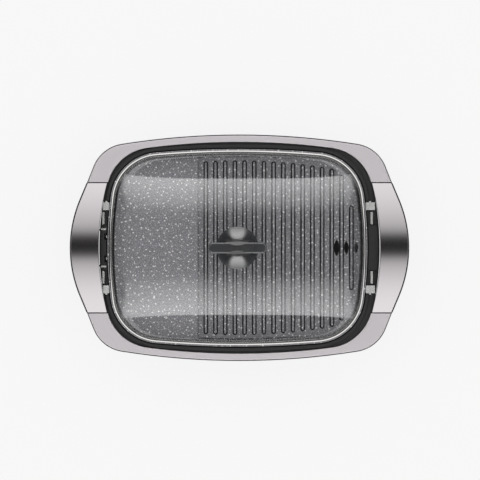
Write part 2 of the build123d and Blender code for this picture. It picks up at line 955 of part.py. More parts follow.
def make_plate():
    """Cast plate: lip, lid seat, walls, griddle half, ribbed half, drain and heater rail."""
    plate = slab(lip_outer, seat_level - plate_lip_rise, lip_top, plate_shift)
    plate = fillet(plate.edges().group_by(Axis.Z)[-1], 0.7)
    plate += slab(body_line, plate_underside + 3, seat_level, plate_shift)
    under = slab(floor_line.grown(plate_wall - 1), plate_underside, plate_underside + 4, plate_shift)
    plate += fillet(under.edges().group_by(Axis.Z)[0], 2.0)
    plate -= slab(lip_inner, seat_level, lip_top + 1, plate_shift)
    well_top = Pos(plate_shift, 0, seat_level + 1) * seat_inner.face()
    well_floor = Pos(plate_shift, 0, griddle_level) * floor_line.face()
    well = Solid.make_loft([well_floor.outer_wire(), well_top.outer_wire()], ruled=True)
    well = fillet(well.edges().group_by(Axis.Z)[0], 2.5)
    low_half = slab(floor_line.grown(-0.6), rib_floor_level, griddle_level + 0.5, plate_shift)
    low_half &= block(
        griddle_edge + plate_shift,
        overall_length,
        -overall_width,
        overall_width,
        rib_floor_level,
        griddle_level + 1,
    )
    low_half = fillet(low_half.edges().group_by(Axis.Z)[0], 1.5)
    plate -= well
    plate -= low_half
    for rib in make_ribs():
        plate += rib
    rail = Pos(0, 0, heater_level) * trace_rail()
    plate += rail
    plate += block(
        probe_end_x - probe_boss_length,
        probe_end_x + 4,
        -probe_boss_width / 2,
        probe_boss_width / 2,
        heater_level - 1,
        plate_underside + 0.5,
    )
    plate -= rod_x(
        probe_end_x - probe_sleeve_length, probe_end_x, 0, heater_level, probe_sleeve_radius
    )
    for slot in drain_slots():
        plate -= slot
    groove = sweep(
        Plane(heater_path() @ 0, z_dir=heater_path() % 0) * Circle(heater_radius + fit_gap / 2),
        path=heater_path(),
    )
    plate -= groove
    for sy in (-1, 1):
        for side in (-1, 1):
            plate += make_lug(side, sy)
    for x, y in guard_screw_places():
        plate -= up_hole(x, y, plate_underside - 1, plate_underside + guard_screw_bite + 0.4)
    return plate


def trace_rail():
    """Ridge under the plate that holds the heater, as a band along the heater's path."""
    flat = [Pos(0, 0, -heater_level) * e for e in heater_path().edges()]
    band = trace(Curve() + flat, line_width=heater_rail_width)
    trimmed = extrude(band, amount=heater_radius + 0.5)
    reach = block(
        plate_shift - body_line.half_x + 22,
        overall_length,
        -overall_width,
        overall_width,
        -1,
        10,
    )
    return trimmed & reach


def make_lug(side, sy):
    """Cast lug that reaches from the plate's lip over the ledge."""
    y = sy * lug_half_span
    inner = side * (lip_outer.x_at(lug_half_span) - 1.0) + plate_shift
    reach = lug_reach_left if side < 0 else lug_reach_right
    outer = side * (lip_outer.x_at(lug_half_span) + reach) + plate_shift
    return block(inner, outer, y - lug_width / 2, y + lug_width / 2, lug_bottom, lug_top)


def make_rest_clip(side, sy):
    """Bright steel clip folded round one lug."""
    lug = make_lug(side, sy).bounding_box()
    skin = clip_thickness
    inner = side * (lip_outer.x_at(lug_half_span - lug_width / 2) + 0.5) + plate_shift
    tip = lug.max.X if side > 0 else lug.min.X
    width = lug_width / 2 + skin
    y = sy * lug_half_span
    clip = block(inner, tip + side * skin, y - width, y + width, lug_bottom, lug_top + skin)
    core = block(
        inner - side * 5, tip, y - lug_width / 2, y + lug_width / 2, lug_bottom - 1, lug_top
    )
    tab_x = (inner + tip) / 2
    near = lug_half_span + width - fit_gap
    tab_y0, tab_y1 = sorted((sy * near, sy * (near + fit_gap + clip_tab_reach)))
    tab = block(
        tab_x - clip_tab_width / 2,
        tab_x + clip_tab_width / 2,
        tab_y0,
        tab_y1,
        lug_bottom + 0.6,
        lug_top + skin,
    )
    return clip - core + tab


def make_heater():
    """Sheathed tubular heater pressed into the plate's underside."""
    path = heater_path()
    return sweep(Plane(path @ 0, z_dir=path % 0) * Circle(heater_radius), path=path)


def make_terminal_pins():
    """The two bare pins that the control plug pushes onto."""
    pins = []
    for sy in (-1, 1):
        y = sy * terminal_half_span
        pin = rod_x(terminal_x0, cold_end_x - insulator_length, y, heater_level, terminal_radius)
        pins.append(fillet(pin.edges().group_by(Axis.X)[0], 0.8))
    return Compound(children=pins)


def make_insulators():
    """Ceramic beads between the heater's ends and its pins."""
    beads = []
    for sy in (-1, 1):
        y = sy * terminal_half_span
        bead = rod_x(cold_end_x - insulator_length, cold_end_x, y, heater_level, insulator_radius)
        beads.append(fillet(bead.edges().group_by(Axis.X)[0], 1.0))
    return Compound(children=beads)


def make_probe_sleeve():
    """Blind tube in which the control plug's probe feels the plate's heat."""
    x0 = probe_end_x - probe_sleeve_length
    sleeve = rod_x(x0, probe_end_x, 0, heater_level, probe_sleeve_radius)
    bore = rod_x(x0 - 1, probe_end_x - 3, 0, heater_level, probe_bore_radius)
    return sleeve - bore


def make_guard():
    """Folded steel guard over the heater's ends, screwed under the plate."""
    x0 = cold_end_x - insulator_length - 1.5
    x1 = x0 + guard_depth
    top = plate_underside
    half = guard_width / 2
    shell = block(x0, x1, -half, half, top - guard_height, top)
    inner = block(
        x0 + sheet_thickness,
        x1 + 1,
        -half + sheet_thickness,
        half - sheet_thickness,
        top - guard_height + sheet_thickness,
        top + 1,
    )
    guard = shell - inner
    for sy in (-1, 1):
        ear = block(
            x0, x1, sy * half, sy * (half + guard_ear), top - sheet_thickness, top
        )
        guard += ear
        guard -= up_hole(x0 + guard_depth / 2, sy * (half + guard_ear / 2), top - 3, top + 1)
        guard -= rod_x(x0 - 1, x0 + 3, sy * terminal_half_span, heater_level, terminal_radius + 1)
    return guard - rod_x(x0 - 1, x0 + 3, 0, heater_level, probe_sleeve_radius + 0.2)


def guard_screw_places():
    """The two screws of the terminal guard."""
    x = cold_end_x - insulator_length - 1.5 + guard_depth / 2
    return [(x, sy * (guard_width + guard_ear) / 2) for sy in (-1, 1)]


def make_guard_screws():
    """Two screws that hold the guard under the plate."""
    seat = plate_underside - sheet_thickness
    reach = sheet_thickness + guard_screw_bite
    return Compound(children=[up_screw(x, y, seat, reach) for x, y in guard_screw_places()])


def dome_sections(grow):
    """Outlines of the glass dome with their levels, from its edge to the knob's seat."""
    edge = ring_line.grown(-ring_wall + grow)
    sections = []
    for share in (0.0, 0.1, 0.25, 0.45, 0.65, 0.85, 1.0):
        def mix(a, b):
            return a + (b - a) * share

        line = Crowned(
            mix(edge.half_x, dome_seat),
            mix(edge.half_y, dome_seat),
            mix(edge.long_crown, dome_seat_crown),
            mix(edge.short_crown, dome_seat_crown),
            mix(edge.corner, dome_seat_corner),
        )
        rise = math.sqrt(dome_radius**2 - line.half_y**2)
        rise -= math.sqrt(dome_radius**2 - edge.half_y**2)
        sections.append((line, rise))
    return sections


def dome(level, grow=0.0):
    """Filled dome that stands on a level."""
    wires = []
    for line, rise in dome_sections(grow):
        wires.append((Pos(plate_shift, 0, level + rise) * line.face()).outer_wire())
    return Solid.make_loft(wires, ruled=False)


glass_top = glass_edge_level + dome_sections(0.0)[-1][1]
knob_bottom = glass_top + knob_washer_height


def make_glass():
    """Domed glass pane with a hole for the knob's screw."""
    glass = dome(glass_edge_level) - dome(glass_edge_level - glass_thickness)
    hole = rod(plate_shift, 0, glass_top - 20, glass_top + 5, knob_screw_radius + 0.6)
    return glass - hole


def make_ring():
    """Steel ring crimped round the glass."""
    ring = slab(ring_line, ring_bottom, ring_bottom + ring_height, plate_shift)
    ring = fillet(ring.edges().group_by(Axis.Z)[-1], ring_round)
    ring = fillet(ring.edges().group_by(Axis.Z)[0], ring_foot_round)
    inner = ring_line.grown(-ring_width)
    ring -= slab(inner, ring_bottom - 1, ring_bottom + ring_height + 1, plate_shift)
    return ring - dome(glass_edge_level - 0.1, 0.1) - dome(glass_edge_level, 0.1)


def make_knob_washer():
    """Steel collar between the glass and the knob."""
    washer = rod(plate_shift, 0, glass_top, knob_bottom, knob_washer_radius)
    washer = fillet(washer.edges().group_by(Axis.Z)[-1], 0.8)
    return washer - rod(plate_shift, 0, glass_top - 1, knob_bottom + 1, knob_screw_radius + 0.3)


cap_radius = knob_radius / math.sin(math.radians(knob_edge_angle))
cap_rise = cap_radius * (1 - math.cos(math.radians(knob_edge_angle)))
grip_bottom = knob_bottom + knob_side + 0.35 * cap_rise
grip_top = grip_bottom + grip_height


def make_knob_base():
    """Domed disc of the knob, hollow under its edge."""
    disc = Pos(plate_shift, 0, knob_bottom + (knob_side + cap_rise) / 2) * Cylinder(
        knob_radius, knob_side + cap_rise
    )
    ball = Pos(plate_shift, 0, knob_bottom + knob_side + cap_rise - cap_radius) * Sphere(cap_radius)
    disc &= ball
    hollow = rod(plate_shift, 0, knob_bottom - 1, knob_bottom + 2.4, knob_radius - 2.2)
    hollow -= rod(plate_shift, 0, knob_bottom - 2, knob_bottom + 4, knob_washer_radius + 1)
    disc -= hollow
    return disc - knob_bore() - grip_blank()


def knob_bore():
    """Blind hole up the knob's middle for its screw."""
    top = knob_bottom + knob_screw_reach + 0.4
    return rod(plate_shift, 0, knob_bottom - 1, top, knob_screw_radius + screw_clearance)


def grip_blank():
    """Finger bar of the knob before its scoops."""
    plan = Pos(plate_shift, 0, grip_bottom) * RectangleRounded(grip_length, grip_width, grip_corner)
    return extrude(plan, amount=grip_height, taper=3)


def make_knob_grip():
    """Finger bar with scooped sides and a rounded top edge."""
    grip = fillet(grip_blank().edges().group_by(Axis.Z)[-1], 2.2)
    grip = fillet(grip.edges().group_by(Axis.Z)[0], 0.8)
    offset = grip_width / 2 + grip_scoop_radius - grip_scoop_depth
    for sy in (-1, 1):
        tool = Pos(plate_shift, sy * offset, grip_top) * Rot(-sy * grip_scoop_lean, 0, 0) * Cylinder(
            grip_scoop_radius, 2 * grip_height
        )
        grip -= tool
    return grip - knob_bore()


def make_knob_inner_washer():
    """Thin washer under the glass."""
    low = glass_top - glass_thickness
    washer = rod(plate_shift, 0, low - knob_inner_washer_thickness, low, knob_inner_washer_radius)
    return washer - rod(plate_shift, 0, low - 2, low + 1, knob_screw_radius + 0.3)


def make_knob_screw():
    """Screw that clamps the knob to the glass from inside."""
    low = glass_top - glass_thickness - knob_inner_washer_thickness
    head = rod(plate_shift, 0, low - knob_head_height, low, knob_head_radius)
    head = fillet(head.edges().group_by(Axis.Z)[0], 1.0)
    head -= Pos(plate_shift, 0, low - knob_head_height) * Box(7.0, 1.2, 2.4)
    return head + rod(plate_shift, 0, low, knob_bottom + knob_screw_reach, knob_screw_radius)


def make_tray():
    """Open drip tray that slides in from the right."""
    half = tray_width / 2
    tray = block(tray_x0, tray_x1, -half, half, tray_bottom, tray_bottom + tray_height)
    tray = fillet(tray.edges().filter_by(Axis.Z), tray_corner)
    tray = fillet(tray.edges().group_by(Axis.Z)[0], tray_floor_fillet)
    inside = block(
        tray_x0 + tray_wall,
        tray_x1 - tray_wall,
        -half + tray_wall,
        half - tray_wall,
        tray_bottom + tray_wall,
        tray_bottom + tray_height + 1,
    )
    inside = fillet(inside.edges().filter_by(Axis.Z), tray_corner - tray_wall)
    return tray - inside


def make_tray_front():
    """Front of the drip tray, with a finger pull along its lower edge."""
    low = tub_bottom + 2.0
    x0 = tub_half_x(low + tray_front_height) + 0.5
    x1 = x0 + tray_front_thickness
    half = tray_front_width / 2
    front = block(x0, x1, -half, half, low, low + tray_front_height)
    front = fillet(front.edges().filter_by(Axis.X), 6.0)
    front = fillet(front.edges().group_by(Axis.X)[-1], 1.2)
    pull = block(x1 - 1, x1 + tray_pull_depth, -half / 2, half / 2, low + 4, low + 8)
    pull = fillet(pull.edges().group_by(Axis.X)[-1].filter_by(Axis.Z), 5.0)
    pull = fillet(pull.edges().group_by(Axis.X)[-1], 1.2)
    neck = block(
        tray_x1,
        x0 + 1,
        -tray_width / 2 + 6,
        tray_width / 2 - 6,
        tray_bottom + 2,
        tray_bottom + tray_height - 3,
    )
    return front + pull + neck


def build_all():
    """Every sub-part by its name."""
    sides = {"left": -1, "right": 1}
    rows = {"front": -1, "rear": 1}
    parts = {
        "tub": make_tub(),
        "reflector_pan": make_reflector(),
        "reflector_screws": make_reflector_screws(),
        "upper_frame": make_frame(),
        "plate_guides": make_guides(),
        "ledge_springs": make_ledge_springs(),
        "frame_screws": make_frame_screws(),
        "handle_screws": make_handle_screws(),
        "inlet_shroud": make_shroud(),
        "foot_screws": make_foot_screws(),
        "grill_plate": make_plate(),
        "heating_element": make_heater(),
        "terminal_pins": make_terminal_pins(),
        "terminal_insulators": make_insulators(),
        "probe_sleeve": make_probe_sleeve(),
        "terminal_guard": make_guard(),
        "guard_screws": make_guard_screws(),
        "lid_glass": make_glass(),
        "lid_ring": make_ring(),
        "knob_collar": make_knob_washer(),
        "knob_base": make_knob_base(),
        "knob_grip": make_knob_grip(),
        "knob_inner_washer": make_knob_inner_washer(),
        "knob_screw": make_knob_screw(),
        "drip_tray": make_tray(),
        "drip_tray_front": make_tray_front(),
    }
    for row, sy in rows.items():
        parts[f"{row}_trim"] = make_trim(sy)
    for side, sx in sides.items():
        parts[f"{side}_handle_cover"] = make_handle_cover(sx)
        parts[f"{side}_handle_grip"] = make_handle_grip(sx)
        for row, sy in rows.items():
            parts[f"foot_{row}_{side}"] = make_foot(sx, sy)
            parts[f"rest_clip_{row}_{side}"] = make_rest_clip(sx, sy)
    return parts


os.makedirs("parts", exist_ok=True)
for name, shape in build_all().items():
    export_step(shape, f"parts/{name}.step")
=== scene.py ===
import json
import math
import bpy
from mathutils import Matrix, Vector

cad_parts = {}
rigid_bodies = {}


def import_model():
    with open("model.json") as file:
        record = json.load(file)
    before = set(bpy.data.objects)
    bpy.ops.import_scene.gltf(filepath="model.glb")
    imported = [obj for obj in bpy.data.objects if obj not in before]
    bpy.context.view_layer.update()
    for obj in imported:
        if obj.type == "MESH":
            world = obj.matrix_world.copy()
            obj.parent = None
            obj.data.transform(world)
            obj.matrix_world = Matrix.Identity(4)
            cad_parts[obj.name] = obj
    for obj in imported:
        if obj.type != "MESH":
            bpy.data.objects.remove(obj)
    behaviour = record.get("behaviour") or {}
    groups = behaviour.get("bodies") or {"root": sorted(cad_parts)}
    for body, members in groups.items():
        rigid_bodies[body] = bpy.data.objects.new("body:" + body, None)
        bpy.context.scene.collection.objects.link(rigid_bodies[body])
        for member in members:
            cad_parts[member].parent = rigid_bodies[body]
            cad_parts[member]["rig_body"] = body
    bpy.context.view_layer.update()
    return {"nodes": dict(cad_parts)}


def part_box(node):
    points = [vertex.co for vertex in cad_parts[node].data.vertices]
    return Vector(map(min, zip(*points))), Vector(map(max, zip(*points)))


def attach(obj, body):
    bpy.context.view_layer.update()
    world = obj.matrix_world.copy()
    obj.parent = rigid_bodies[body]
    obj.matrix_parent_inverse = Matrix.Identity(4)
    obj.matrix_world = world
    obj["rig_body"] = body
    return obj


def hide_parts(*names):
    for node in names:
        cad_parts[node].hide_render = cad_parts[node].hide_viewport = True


bl_info = {
    "name": "Table grill with glass lid",
    "version": (1, 0, 0),
    "blender": (4, 5, 0),
    "location": "View3D > Sidebar > Grill",
    "description": "Builds an electric table grill with its plate, lid and drip tray",
    "category": "Object",
}

import bmesh
import bpy
from mathutils import Matrix, Vector

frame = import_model()
NODES = frame["nodes"]
MM = 0.001

# Distances within which vertices are merged, in metres
TOUCHING = 1e-6
WELD = 2e-6


def linear(hex_colour):
    """Linear RGBA of an sRGB hex colour."""
    parts = [int(hex_colour[i : i + 2], 16) / 255 for i in (1, 3, 5)]
    out = [c / 12.92 if c <= 0.04045 else ((c + 0.055) / 1.055) ** 2.4 for c in parts]
    return (*out, 1.0)


def colour(name, hex_colour, description):
    """Colour property with its default given in hex."""
    return bpy.props.FloatVectorProperty(
        name=name,
        description=description,
        subtype="COLOR",
        size=4,
        min=0.0,
        max=1.0,
        default=linear(hex_colour),
    )


def length(name, millimetres, description):
    """Length property with its default given in millimetres."""
    return bpy.props.FloatProperty(
        name=name,
        description=description,
        subtype="DISTANCE",
        unit="LENGTH",
        min=0.0,
        precision=5,
        default=millimetres * MM,
    )


class GrillSizes(bpy.types.PropertyGroup):
    """Sizes of the pieces that are modelled here."""

    ring_bead: length("Ring bead", 2.0, "Width of the lid ring's outer rolled bead")
    ring_width: length("Ring width", 4.4, "Width of the lid ring")
    glass_thickness: length("Glass thickness", 2.5, "Thickness of the lid's pane")
    cover_thickness: length("Cover thickness", 1.6, "Thickness of the handle covers")
    cover_edge: length("Cover edge", 0.45, "Rounding of the handle covers' edges")
    foot_rib: length("Foot rib", 0.5, "Depth of the grip ribs round each foot")
    knob_side: length("Knob side", 2.3, "Height of the knob disc's upright edge")


class GrillColours(bpy.types.PropertyGroup):
    """Colours of the finishes."""

    body: colour("Body", "#1b1a1a", "Black moulding of the tub and frame")
    grip: colour("Grip", "#1d1d1f", "Black moulding under the handles")
    rim: colour("Rim", "#dcd7da", "Satin silver of the long rims")
    cover: colour("Handle cover", "#b5b1b3", "Polished handle covers")
    plate: colour("Plate", "#838286", "Stone-effect coating of the plate")
    fleck: colour("Fleck", "#f4f4f2", "Pale flecks in the plate's coating")
    ring: colour("Lid ring", "#e8e7e5", "Polished ring of the lid")
    bright: colour("Bright steel", "#f4f4f2", "Clips, springs and guides")
    knob: colour("Knob", "#232527", "Knob's moulding")
    sheath: colour("Heater sheath", "#6d655d", "Heat-tinted tube of the heater")
    ceramic: colour("Ceramic", "#ddd6c6", "Terminal insulators")
    sheet: colour("Sheet metal", "#b4b6b8", "Reflector and terminal guard")
    screw: colour("Screw", "#9a9b9c", "Zinc-plated screws")
    rubber: colour("Rubber", "#1c1c1c", "Feet")
    tray: colour("Tray", "#262628", "Drip tray")
    floor: colour("Floor", "#f7f7f7", "Pale table and background")


def sizes():
    """Sizes set in the scene."""
    return bpy.context.scene.grill_sizes


def colours():
    """Colours set in the scene."""
    return bpy.context.scene.grill_colours


# Outlines, in millimetres

# Steps along the three arcs of a quarter outline
ARC_STEPS = (10, 22, 16)

# Shape of the small ovals that an outline shrinks to, and how soon it does
OVAL_CROWN = 1.9
OVAL_CORNER = 0.66
OVAL_HASTE = 5


class Crowned:
    """A rounded rectangle with bowed sides, made of eight tangent arcs."""

    def __init__(self, half_x, half_y, long_crown, short_crown, corner):
        self.half_x = half_x
        self.half_y = half_y
        self.long_crown = long_crown
        self.short_crown = short_crown
        self.corner = corner

    def grown(self, by):
        """Outline moved outwards by a distance."""
        return Crowned(
            self.half_x + by,
            self.half_y + by,
            self.long_crown + by,
            self.short_crown + by,
            self.corner + by,
        )

    def shrunk(self, other, share):
        """Outline part of the way to a small one, whose sides grow round soon after the start."""
        half_x = self.half_x + (other.half_x - self.half_x) * share
        half_y = self.half_y + (other.half_y - self.half_y) * share
        round_x = OVAL_CROWN * half_x**2 / half_y
        round_y = OVAL_CROWN * half_y**2 / half_x
        corner = OVAL_CORNER * half_y
        left = (1 - share) ** OVAL_HASTE
        return Crowned(
            half_x,
            half_y,
            round_x + (self.long_crown - round_x) * left,
            round_y + (self.short_crown - round_y) * left,
            corner + (self.corner - corner) * left,
        )

    def turns(self):
        """Centre and turning angle of the three arcs of the +X +Y quarter."""
        top = Vector((0.0, self.half_y - self.long_crown))
        side = Vector((self.half_x - self.short_crown, 0.0))
        reach_top = self.long_crown - self.corner
        reach_side = self.short_crown - self.corner
        apart = (side - top).length
        along = (reach_top**2 - reach_side**2 + apart**2) / (2 * apart)
        across = math.sqrt(max(reach_top**2 - along**2, 0.0))
        unit = (side - top).normalized()
        centre = top + unit * along + Vector((unit.y, -unit.x)) * across
        low = math.atan2(centre.y, centre.x - side.x)
        high = math.atan2(centre.y - top.y, centre.x)
        return [(side, low), (centre, high - low), (top, math.pi / 2 - high)]

    def x_at(self, y):
        """Half length of the outline at a distance y from the middle line."""
        (side, low), (centre, turn), (top, _) = self.turns()
        if abs(y) <= self.short_crown * math.sin(low):
            return side.x + math.sqrt(self.short_crown**2 - y**2)
        if abs(y) <= top.y + self.long_crown * math.sin(low + turn):
            return centre.x + math.sqrt(self.corner**2 - (abs(y) - centre.y) ** 2)
        return math.sqrt(max(self.long_crown**2 - (abs(y) - top.y) ** 2, 0.0))

    def y_at(self, x):
        """Half width of the outline at a distance x from the middle line."""
        (side, low), (centre, turn), (top, _) = self.turns()
        if abs(x) <= self.long_crown * math.cos(low + turn):
            return top.y + math.sqrt(self.long_crown**2 - x**2)
        if abs(x) <= side.x + self.short_crown * math.cos(low):
            return centre.y + math.sqrt(self.corner**2 - (abs(x) - centre.x) ** 2)
        return math.sqrt(max(self.short_crown**2 - (abs(x) - side.x) ** 2, 0.0))


# Frame: the handles' outer line is an arc of the bulge's radius, then a straight flank
FRAME_HALF_LENGTH = 250.0
HANDLE_BULGE = 192.0
FLANK = math.radians(21.6)
LIP_REVEAL = 1.9
TRIM_INNER = Crowned(206.5, 156.7, 1046.0, 400.0, 69.5)

# Handle covers: their inner line, the flat middle of their arch and their gap to the trims
HANDLE_LINE = TRIM_INNER.grown(1.1)
ARCH_FLAT = 60.0
SEAM_REACH = 0.7

# Place of the plate's and the lid's middle along the frame
PLATE_SHIFT = -3.0

# The lid's ring: its bead leans from the first angle at its outer edge to the second
RING_LINE = Crowned(190.0, 143.9, 1412.0, 583.0, 71.5)
BEAD_OUTER = math.radians(44.0)
BEAD_INNER = math.radians(31.0)
BEAD_STEPS = 8
FLANGE_LEAN = math.radians(2.0)

# The pane: slopes at its shoulder, its long rims and its short ends
PANE_LINE = RING_LINE.grown(-1.4)
PANE_TOP = Crowned(24.0, 24.0, 40.0, 40.0, 20.0)
PANE_LOOPS = 33
LOOP_CROWDING = 1.15
PANE_SHOULDER = 100.5
PANE_POWER = 2.5
SHOULDER_SLOPE = math.tan(math.radians(12.4))
RIM_SLOPE = math.tan(math.radians(16.8))
RIM_EASE = 8.0
END_SLOPE = math.tan(math.radians(18.4))
END_BLEND = 8
END_EASE = 0.35
PANE_LIFT = 1.5
BOSS_RADIUS = 34.0
HOLE_RADIUS = 3.1

# The knob's disc: its crown leans by the first angle at the break and the second at its edge
CROWN_BREAK = 13.5
BREAK_LEAN = 21.5
EDGE_LEAN = 28.0
CROWN_STEPS = 44


def flank_x(y):
    """Half length of the handles' outer line at a distance y from the middle."""
    inset = FRAME_HALF_LENGTH - LIP_REVEAL
    centre = FRAME_HALF_LENGTH - HANDLE_BULGE
    radius = inset - centre
    joint = radius * math.sin(FLANK)
    if abs(y) <= joint:
        return centre + math.sqrt(radius**2 - y**2)
    return centre + radius * math.cos(FLANK) - (abs(y) - joint) * math.tan(FLANK)


def pane_fall(y):
    """Fall of the pane from its middle line: nearly level at first, steepest at its rim."""
    inside = min(abs(y), PANE_SHOULDER)
    power = PANE_POWER + 1
    fall = SHOULDER_SLOPE * PANE_SHOULDER / power * (inside / PANE_SHOULDER) ** power
    past = abs(y) - inside
    slow = RIM_EASE * (1 - math.exp(-past / RIM_EASE))
    return fall + past * RIM_SLOPE - slow * (RIM_SLOPE - SHOULDER_SLOPE)


def pane_rise(x, y):
    """Height of the pane above its edge: its fall along y, held down near the short ends."""
    ease = 1 / (1 + END_EASE * (x / PANE_LINE.half_x) ** 4)
    across = ease * (pane_fall(PANE_LINE.y_at(x)) - pane_fall(y))
    along = END_SLOPE * (PANE_LINE.x_at(y) - abs(x))
    if min(across, along) <= 0.0:
        return 0.0
    return across * along / (across**END_BLEND + along**END_BLEND) ** (1 / END_BLEND)


# Mesh helpers


def new_piece(name, bm, body, node, smooth):
    """Turns a bmesh into a finished piece that rides on a body and stands for a node.

    Edges that turn by more degrees than smooth stay sharp.
    """
    mesh = bpy.data.meshes.new(name)
    bm.to_mesh(mesh)
    bm.free()
    # Normals that came with a CAD mesh would hide the new smooth and sharp edges
    if mesh.has_custom_normals:
        mesh.attributes.remove(mesh.attributes["custom_normal"])
    for face in mesh.polygons:
        face.use_smooth = True
    mesh.set_sharp_from_angle(angle=math.radians(smooth))
    piece = bpy.data.objects.new(name, mesh)
    bpy.context.scene.collection.objects.link(piece)
    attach(piece, body)
    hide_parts(node)
    return piece


def cast_copy(node, material, smooth=32.0, bevel=0.0):
    """Merged and smoothly shaded copy of a CAD node, with softened edges if asked."""
    bm = bmesh.new()
    bm.from_mesh(NODES[node].data)
    bmesh.ops.remove_doubles(bm, verts=bm.verts, dist=TOUCHING)
    piece = new_piece(f"{node}_finished", bm, NODES[node]["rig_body"], node, smooth)
    piece.data.materials.clear()
    piece.data.materials.append(material)
    if bevel > 0.0:
        soften(piece, bevel)
    else:
        weigh(piece)
    return piece


def weigh(piece):
    """Keeps flat faces flat next to their rounded edges."""
    weighing = piece.modifiers.new("Flat faces", "WEIGHTED_NORMAL")
    weighing.keep_sharp = True
    weighing.weight = 90


def soften(piece, width, segments=2, angle=40.0):
    """Rounds a piece's sharp edges."""
    rounding = piece.modifiers.new("Softened edges", "BEVEL")
    rounding.width = width
    rounding.segments = segments
    rounding.limit_method = "ANGLE"
    rounding.angle_limit = math.radians(angle)
    rounding.harden_normals = True


def trace(bm, verts, edges, outline):
    """Spins geometry along a quarter of an outline and mirrors that. Gives the new vertices."""
    old = set(bm.verts) - set(verts)
    geom = verts + edges
    for (centre, turn), count in zip(outline.turns(), ARC_STEPS):
        spun = bmesh.ops.spin(
            bm,
            geom=geom,
            cent=(centre.x * MM, centre.y * MM, 0.0),
            axis=(0.0, 0.0, 1.0),
            angle=turn,
            steps=count,
            use_merge=False,
        )
        geom = spun["geom_last"]
    for axis in ("X", "Y"):
        made = [vert for vert in bm.verts if vert not in old]
        sides = {edge for vert in made for edge in vert.link_edges}
        faces = {face for vert in made for face in vert.link_faces}
        bmesh.ops.mirror(bm, geom=[*made, *sides, *faces], axis=axis, merge_dist=TOUCHING)
    made = [vert for vert in bm.verts if vert not in old]
    bmesh.ops.remove_doubles(bm, verts=made, dist=WELD)
    made = [vert for vert in bm.verts if vert not in old]
    bmesh.ops.translate(bm, verts=made, vec=(PLATE_SHIFT * MM, 0.0, 0.0))
    return made


def lathe(bm, profile, at, steps):
    """Spins a profile of (radius, height) points round an upright axis."""
    verts = [bm.verts.new((at[0] + r * MM, at[1], at[2] + h * MM)) for r, h in profile]
    edges = [bm.edges.new(pair) for pair in zip(verts, verts[1:])]
    bmesh.ops.spin(
        bm,
        geom=verts + edges,
        cent=at,
        axis=(0.0, 0.0, 1.0),
        angle=2 * math.pi,
        steps=steps,
        use_merge=True,
    )
    bmesh.ops.remove_doubles(bm, verts=bm.verts, dist=WELD)
    bmesh.ops.recalc_face_normals(bm, faces=bm.faces)


# Material helpers

# Inputs and output of a mix node that is set to colours
FIRST, SECOND, MIXED = 6, 7, 2


def wire(tree, node, inputs):
    """Sets a node's inputs, each to a value, a socket or another node's first output."""
    for key, value in inputs.items():
        if isinstance(value, bpy.types.Node):
            value = value.outputs[0]
        if isinstance(value, bpy.types.NodeSocket):
            tree.links.new(value, node.inputs[key])
        else:
            node.inputs[key].default_value = value


def add(tree, kind, inputs, **attributes):
    """Adds a shader node with its attributes and inputs."""
    made = tree.nodes.new(kind)
    for key, value in attributes.items():
        setattr(made, key, value)
    wire(tree, made, inputs)
    return made


def set_stops(ramp, stops, interpolation="LINEAR"):
    """Sets a colour ramp's stops, each a place with a grey or a colour. Gives the ramp."""
    ramp.color_ramp.interpolation = interpolation
    points = ramp.color_ramp.elements
    while len(points) < len(stops):
        points.new(1.0)
    for point, (place, value) in zip(points, stops):
        point.position = place
        point.color = (value, value, value, 1.0) if isinstance(value, float) else value
    return ramp


def finish(name, settings):
    """New material with a Principled shader. Gives them, the tree and the coordinates."""
    material = bpy.data.materials.new(name)
    material.use_nodes = True
    tree = material.node_tree
    shader = tree.nodes["Principled BSDF"]
    wire(tree, shader, settings)
    where = add(tree, "ShaderNodeTexCoord", {}).outputs["Object"]
    return material, tree, shader, where


def surface(tree, shader, relief, rough=None, tone=None):
    """Gives a shader its relief and, where asked, its roughness and colour, from patterns.

    Each is a pattern with two values: the relief's depth in millimetres and its strength,
    the least and the greatest roughness, and the two colours that the pattern runs between.
    """
    pattern, depth, strength = relief
    height = {"Height": pattern, "Distance": depth * MM, "Strength": strength}
    wire(tree, shader, {"Normal": add(tree, "ShaderNodeBump", height)})
    if rough:
        pattern, least, most = rough
        spread = {"Value": pattern, "To Min": least, "To Max": most}
        wire(tree, shader, {"Roughness": add(tree, "ShaderNodeMapRange", spread)})
    if tone:
        pattern, first, second = tone
        tones = {"Factor": pattern, FIRST: first, SECOND: second}
        mixed = add(tree, "ShaderNodeMix", tones, data_type="RGBA").outputs[MIXED]
        wire(tree, shader, {"Base Color": mixed})


def per(millimetres):
    """Scale of a pattern whose features are that many millimetres apart."""
    return 1000.0 / millimetres


def shade(value, factor):
    """A colour made darker or lighter by a factor."""
    return tuple(min(c * factor, 1.0) for c in value[:3]) + (1.0,)


# Finishes

# Real grain, flake, rolling lines and wiping marks are 0.05 to 0.3 mm apart. They are
# drawn 0.6 to 1.5 mm apart, so that they still show in a render of the whole grill.


def spark_eroded_plastic(name, base, gloss=0.5):
    """Glass-filled polyamide from a spark-eroded mould: matte, with a fine even grain."""
    material, tree, shader, where = finish(name, {"IOR": 1.5})
    grit = add(tree, "ShaderNodeTexNoise", {"Vector": where, "Scale": per(1.2), "Detail": 3.0})
    cloud = add(tree, "ShaderNodeTexNoise", {"Vector": where, "Scale": per(60.0), "Detail": 2.0})
    rough = (grit, gloss - 0.08, gloss + 0.1)
    tone = (cloud, shade(base, 0.8), shade(base, 1.25))
    surface(tree, shader, (grit, 0.03, 0.6), rough, tone)
    return material


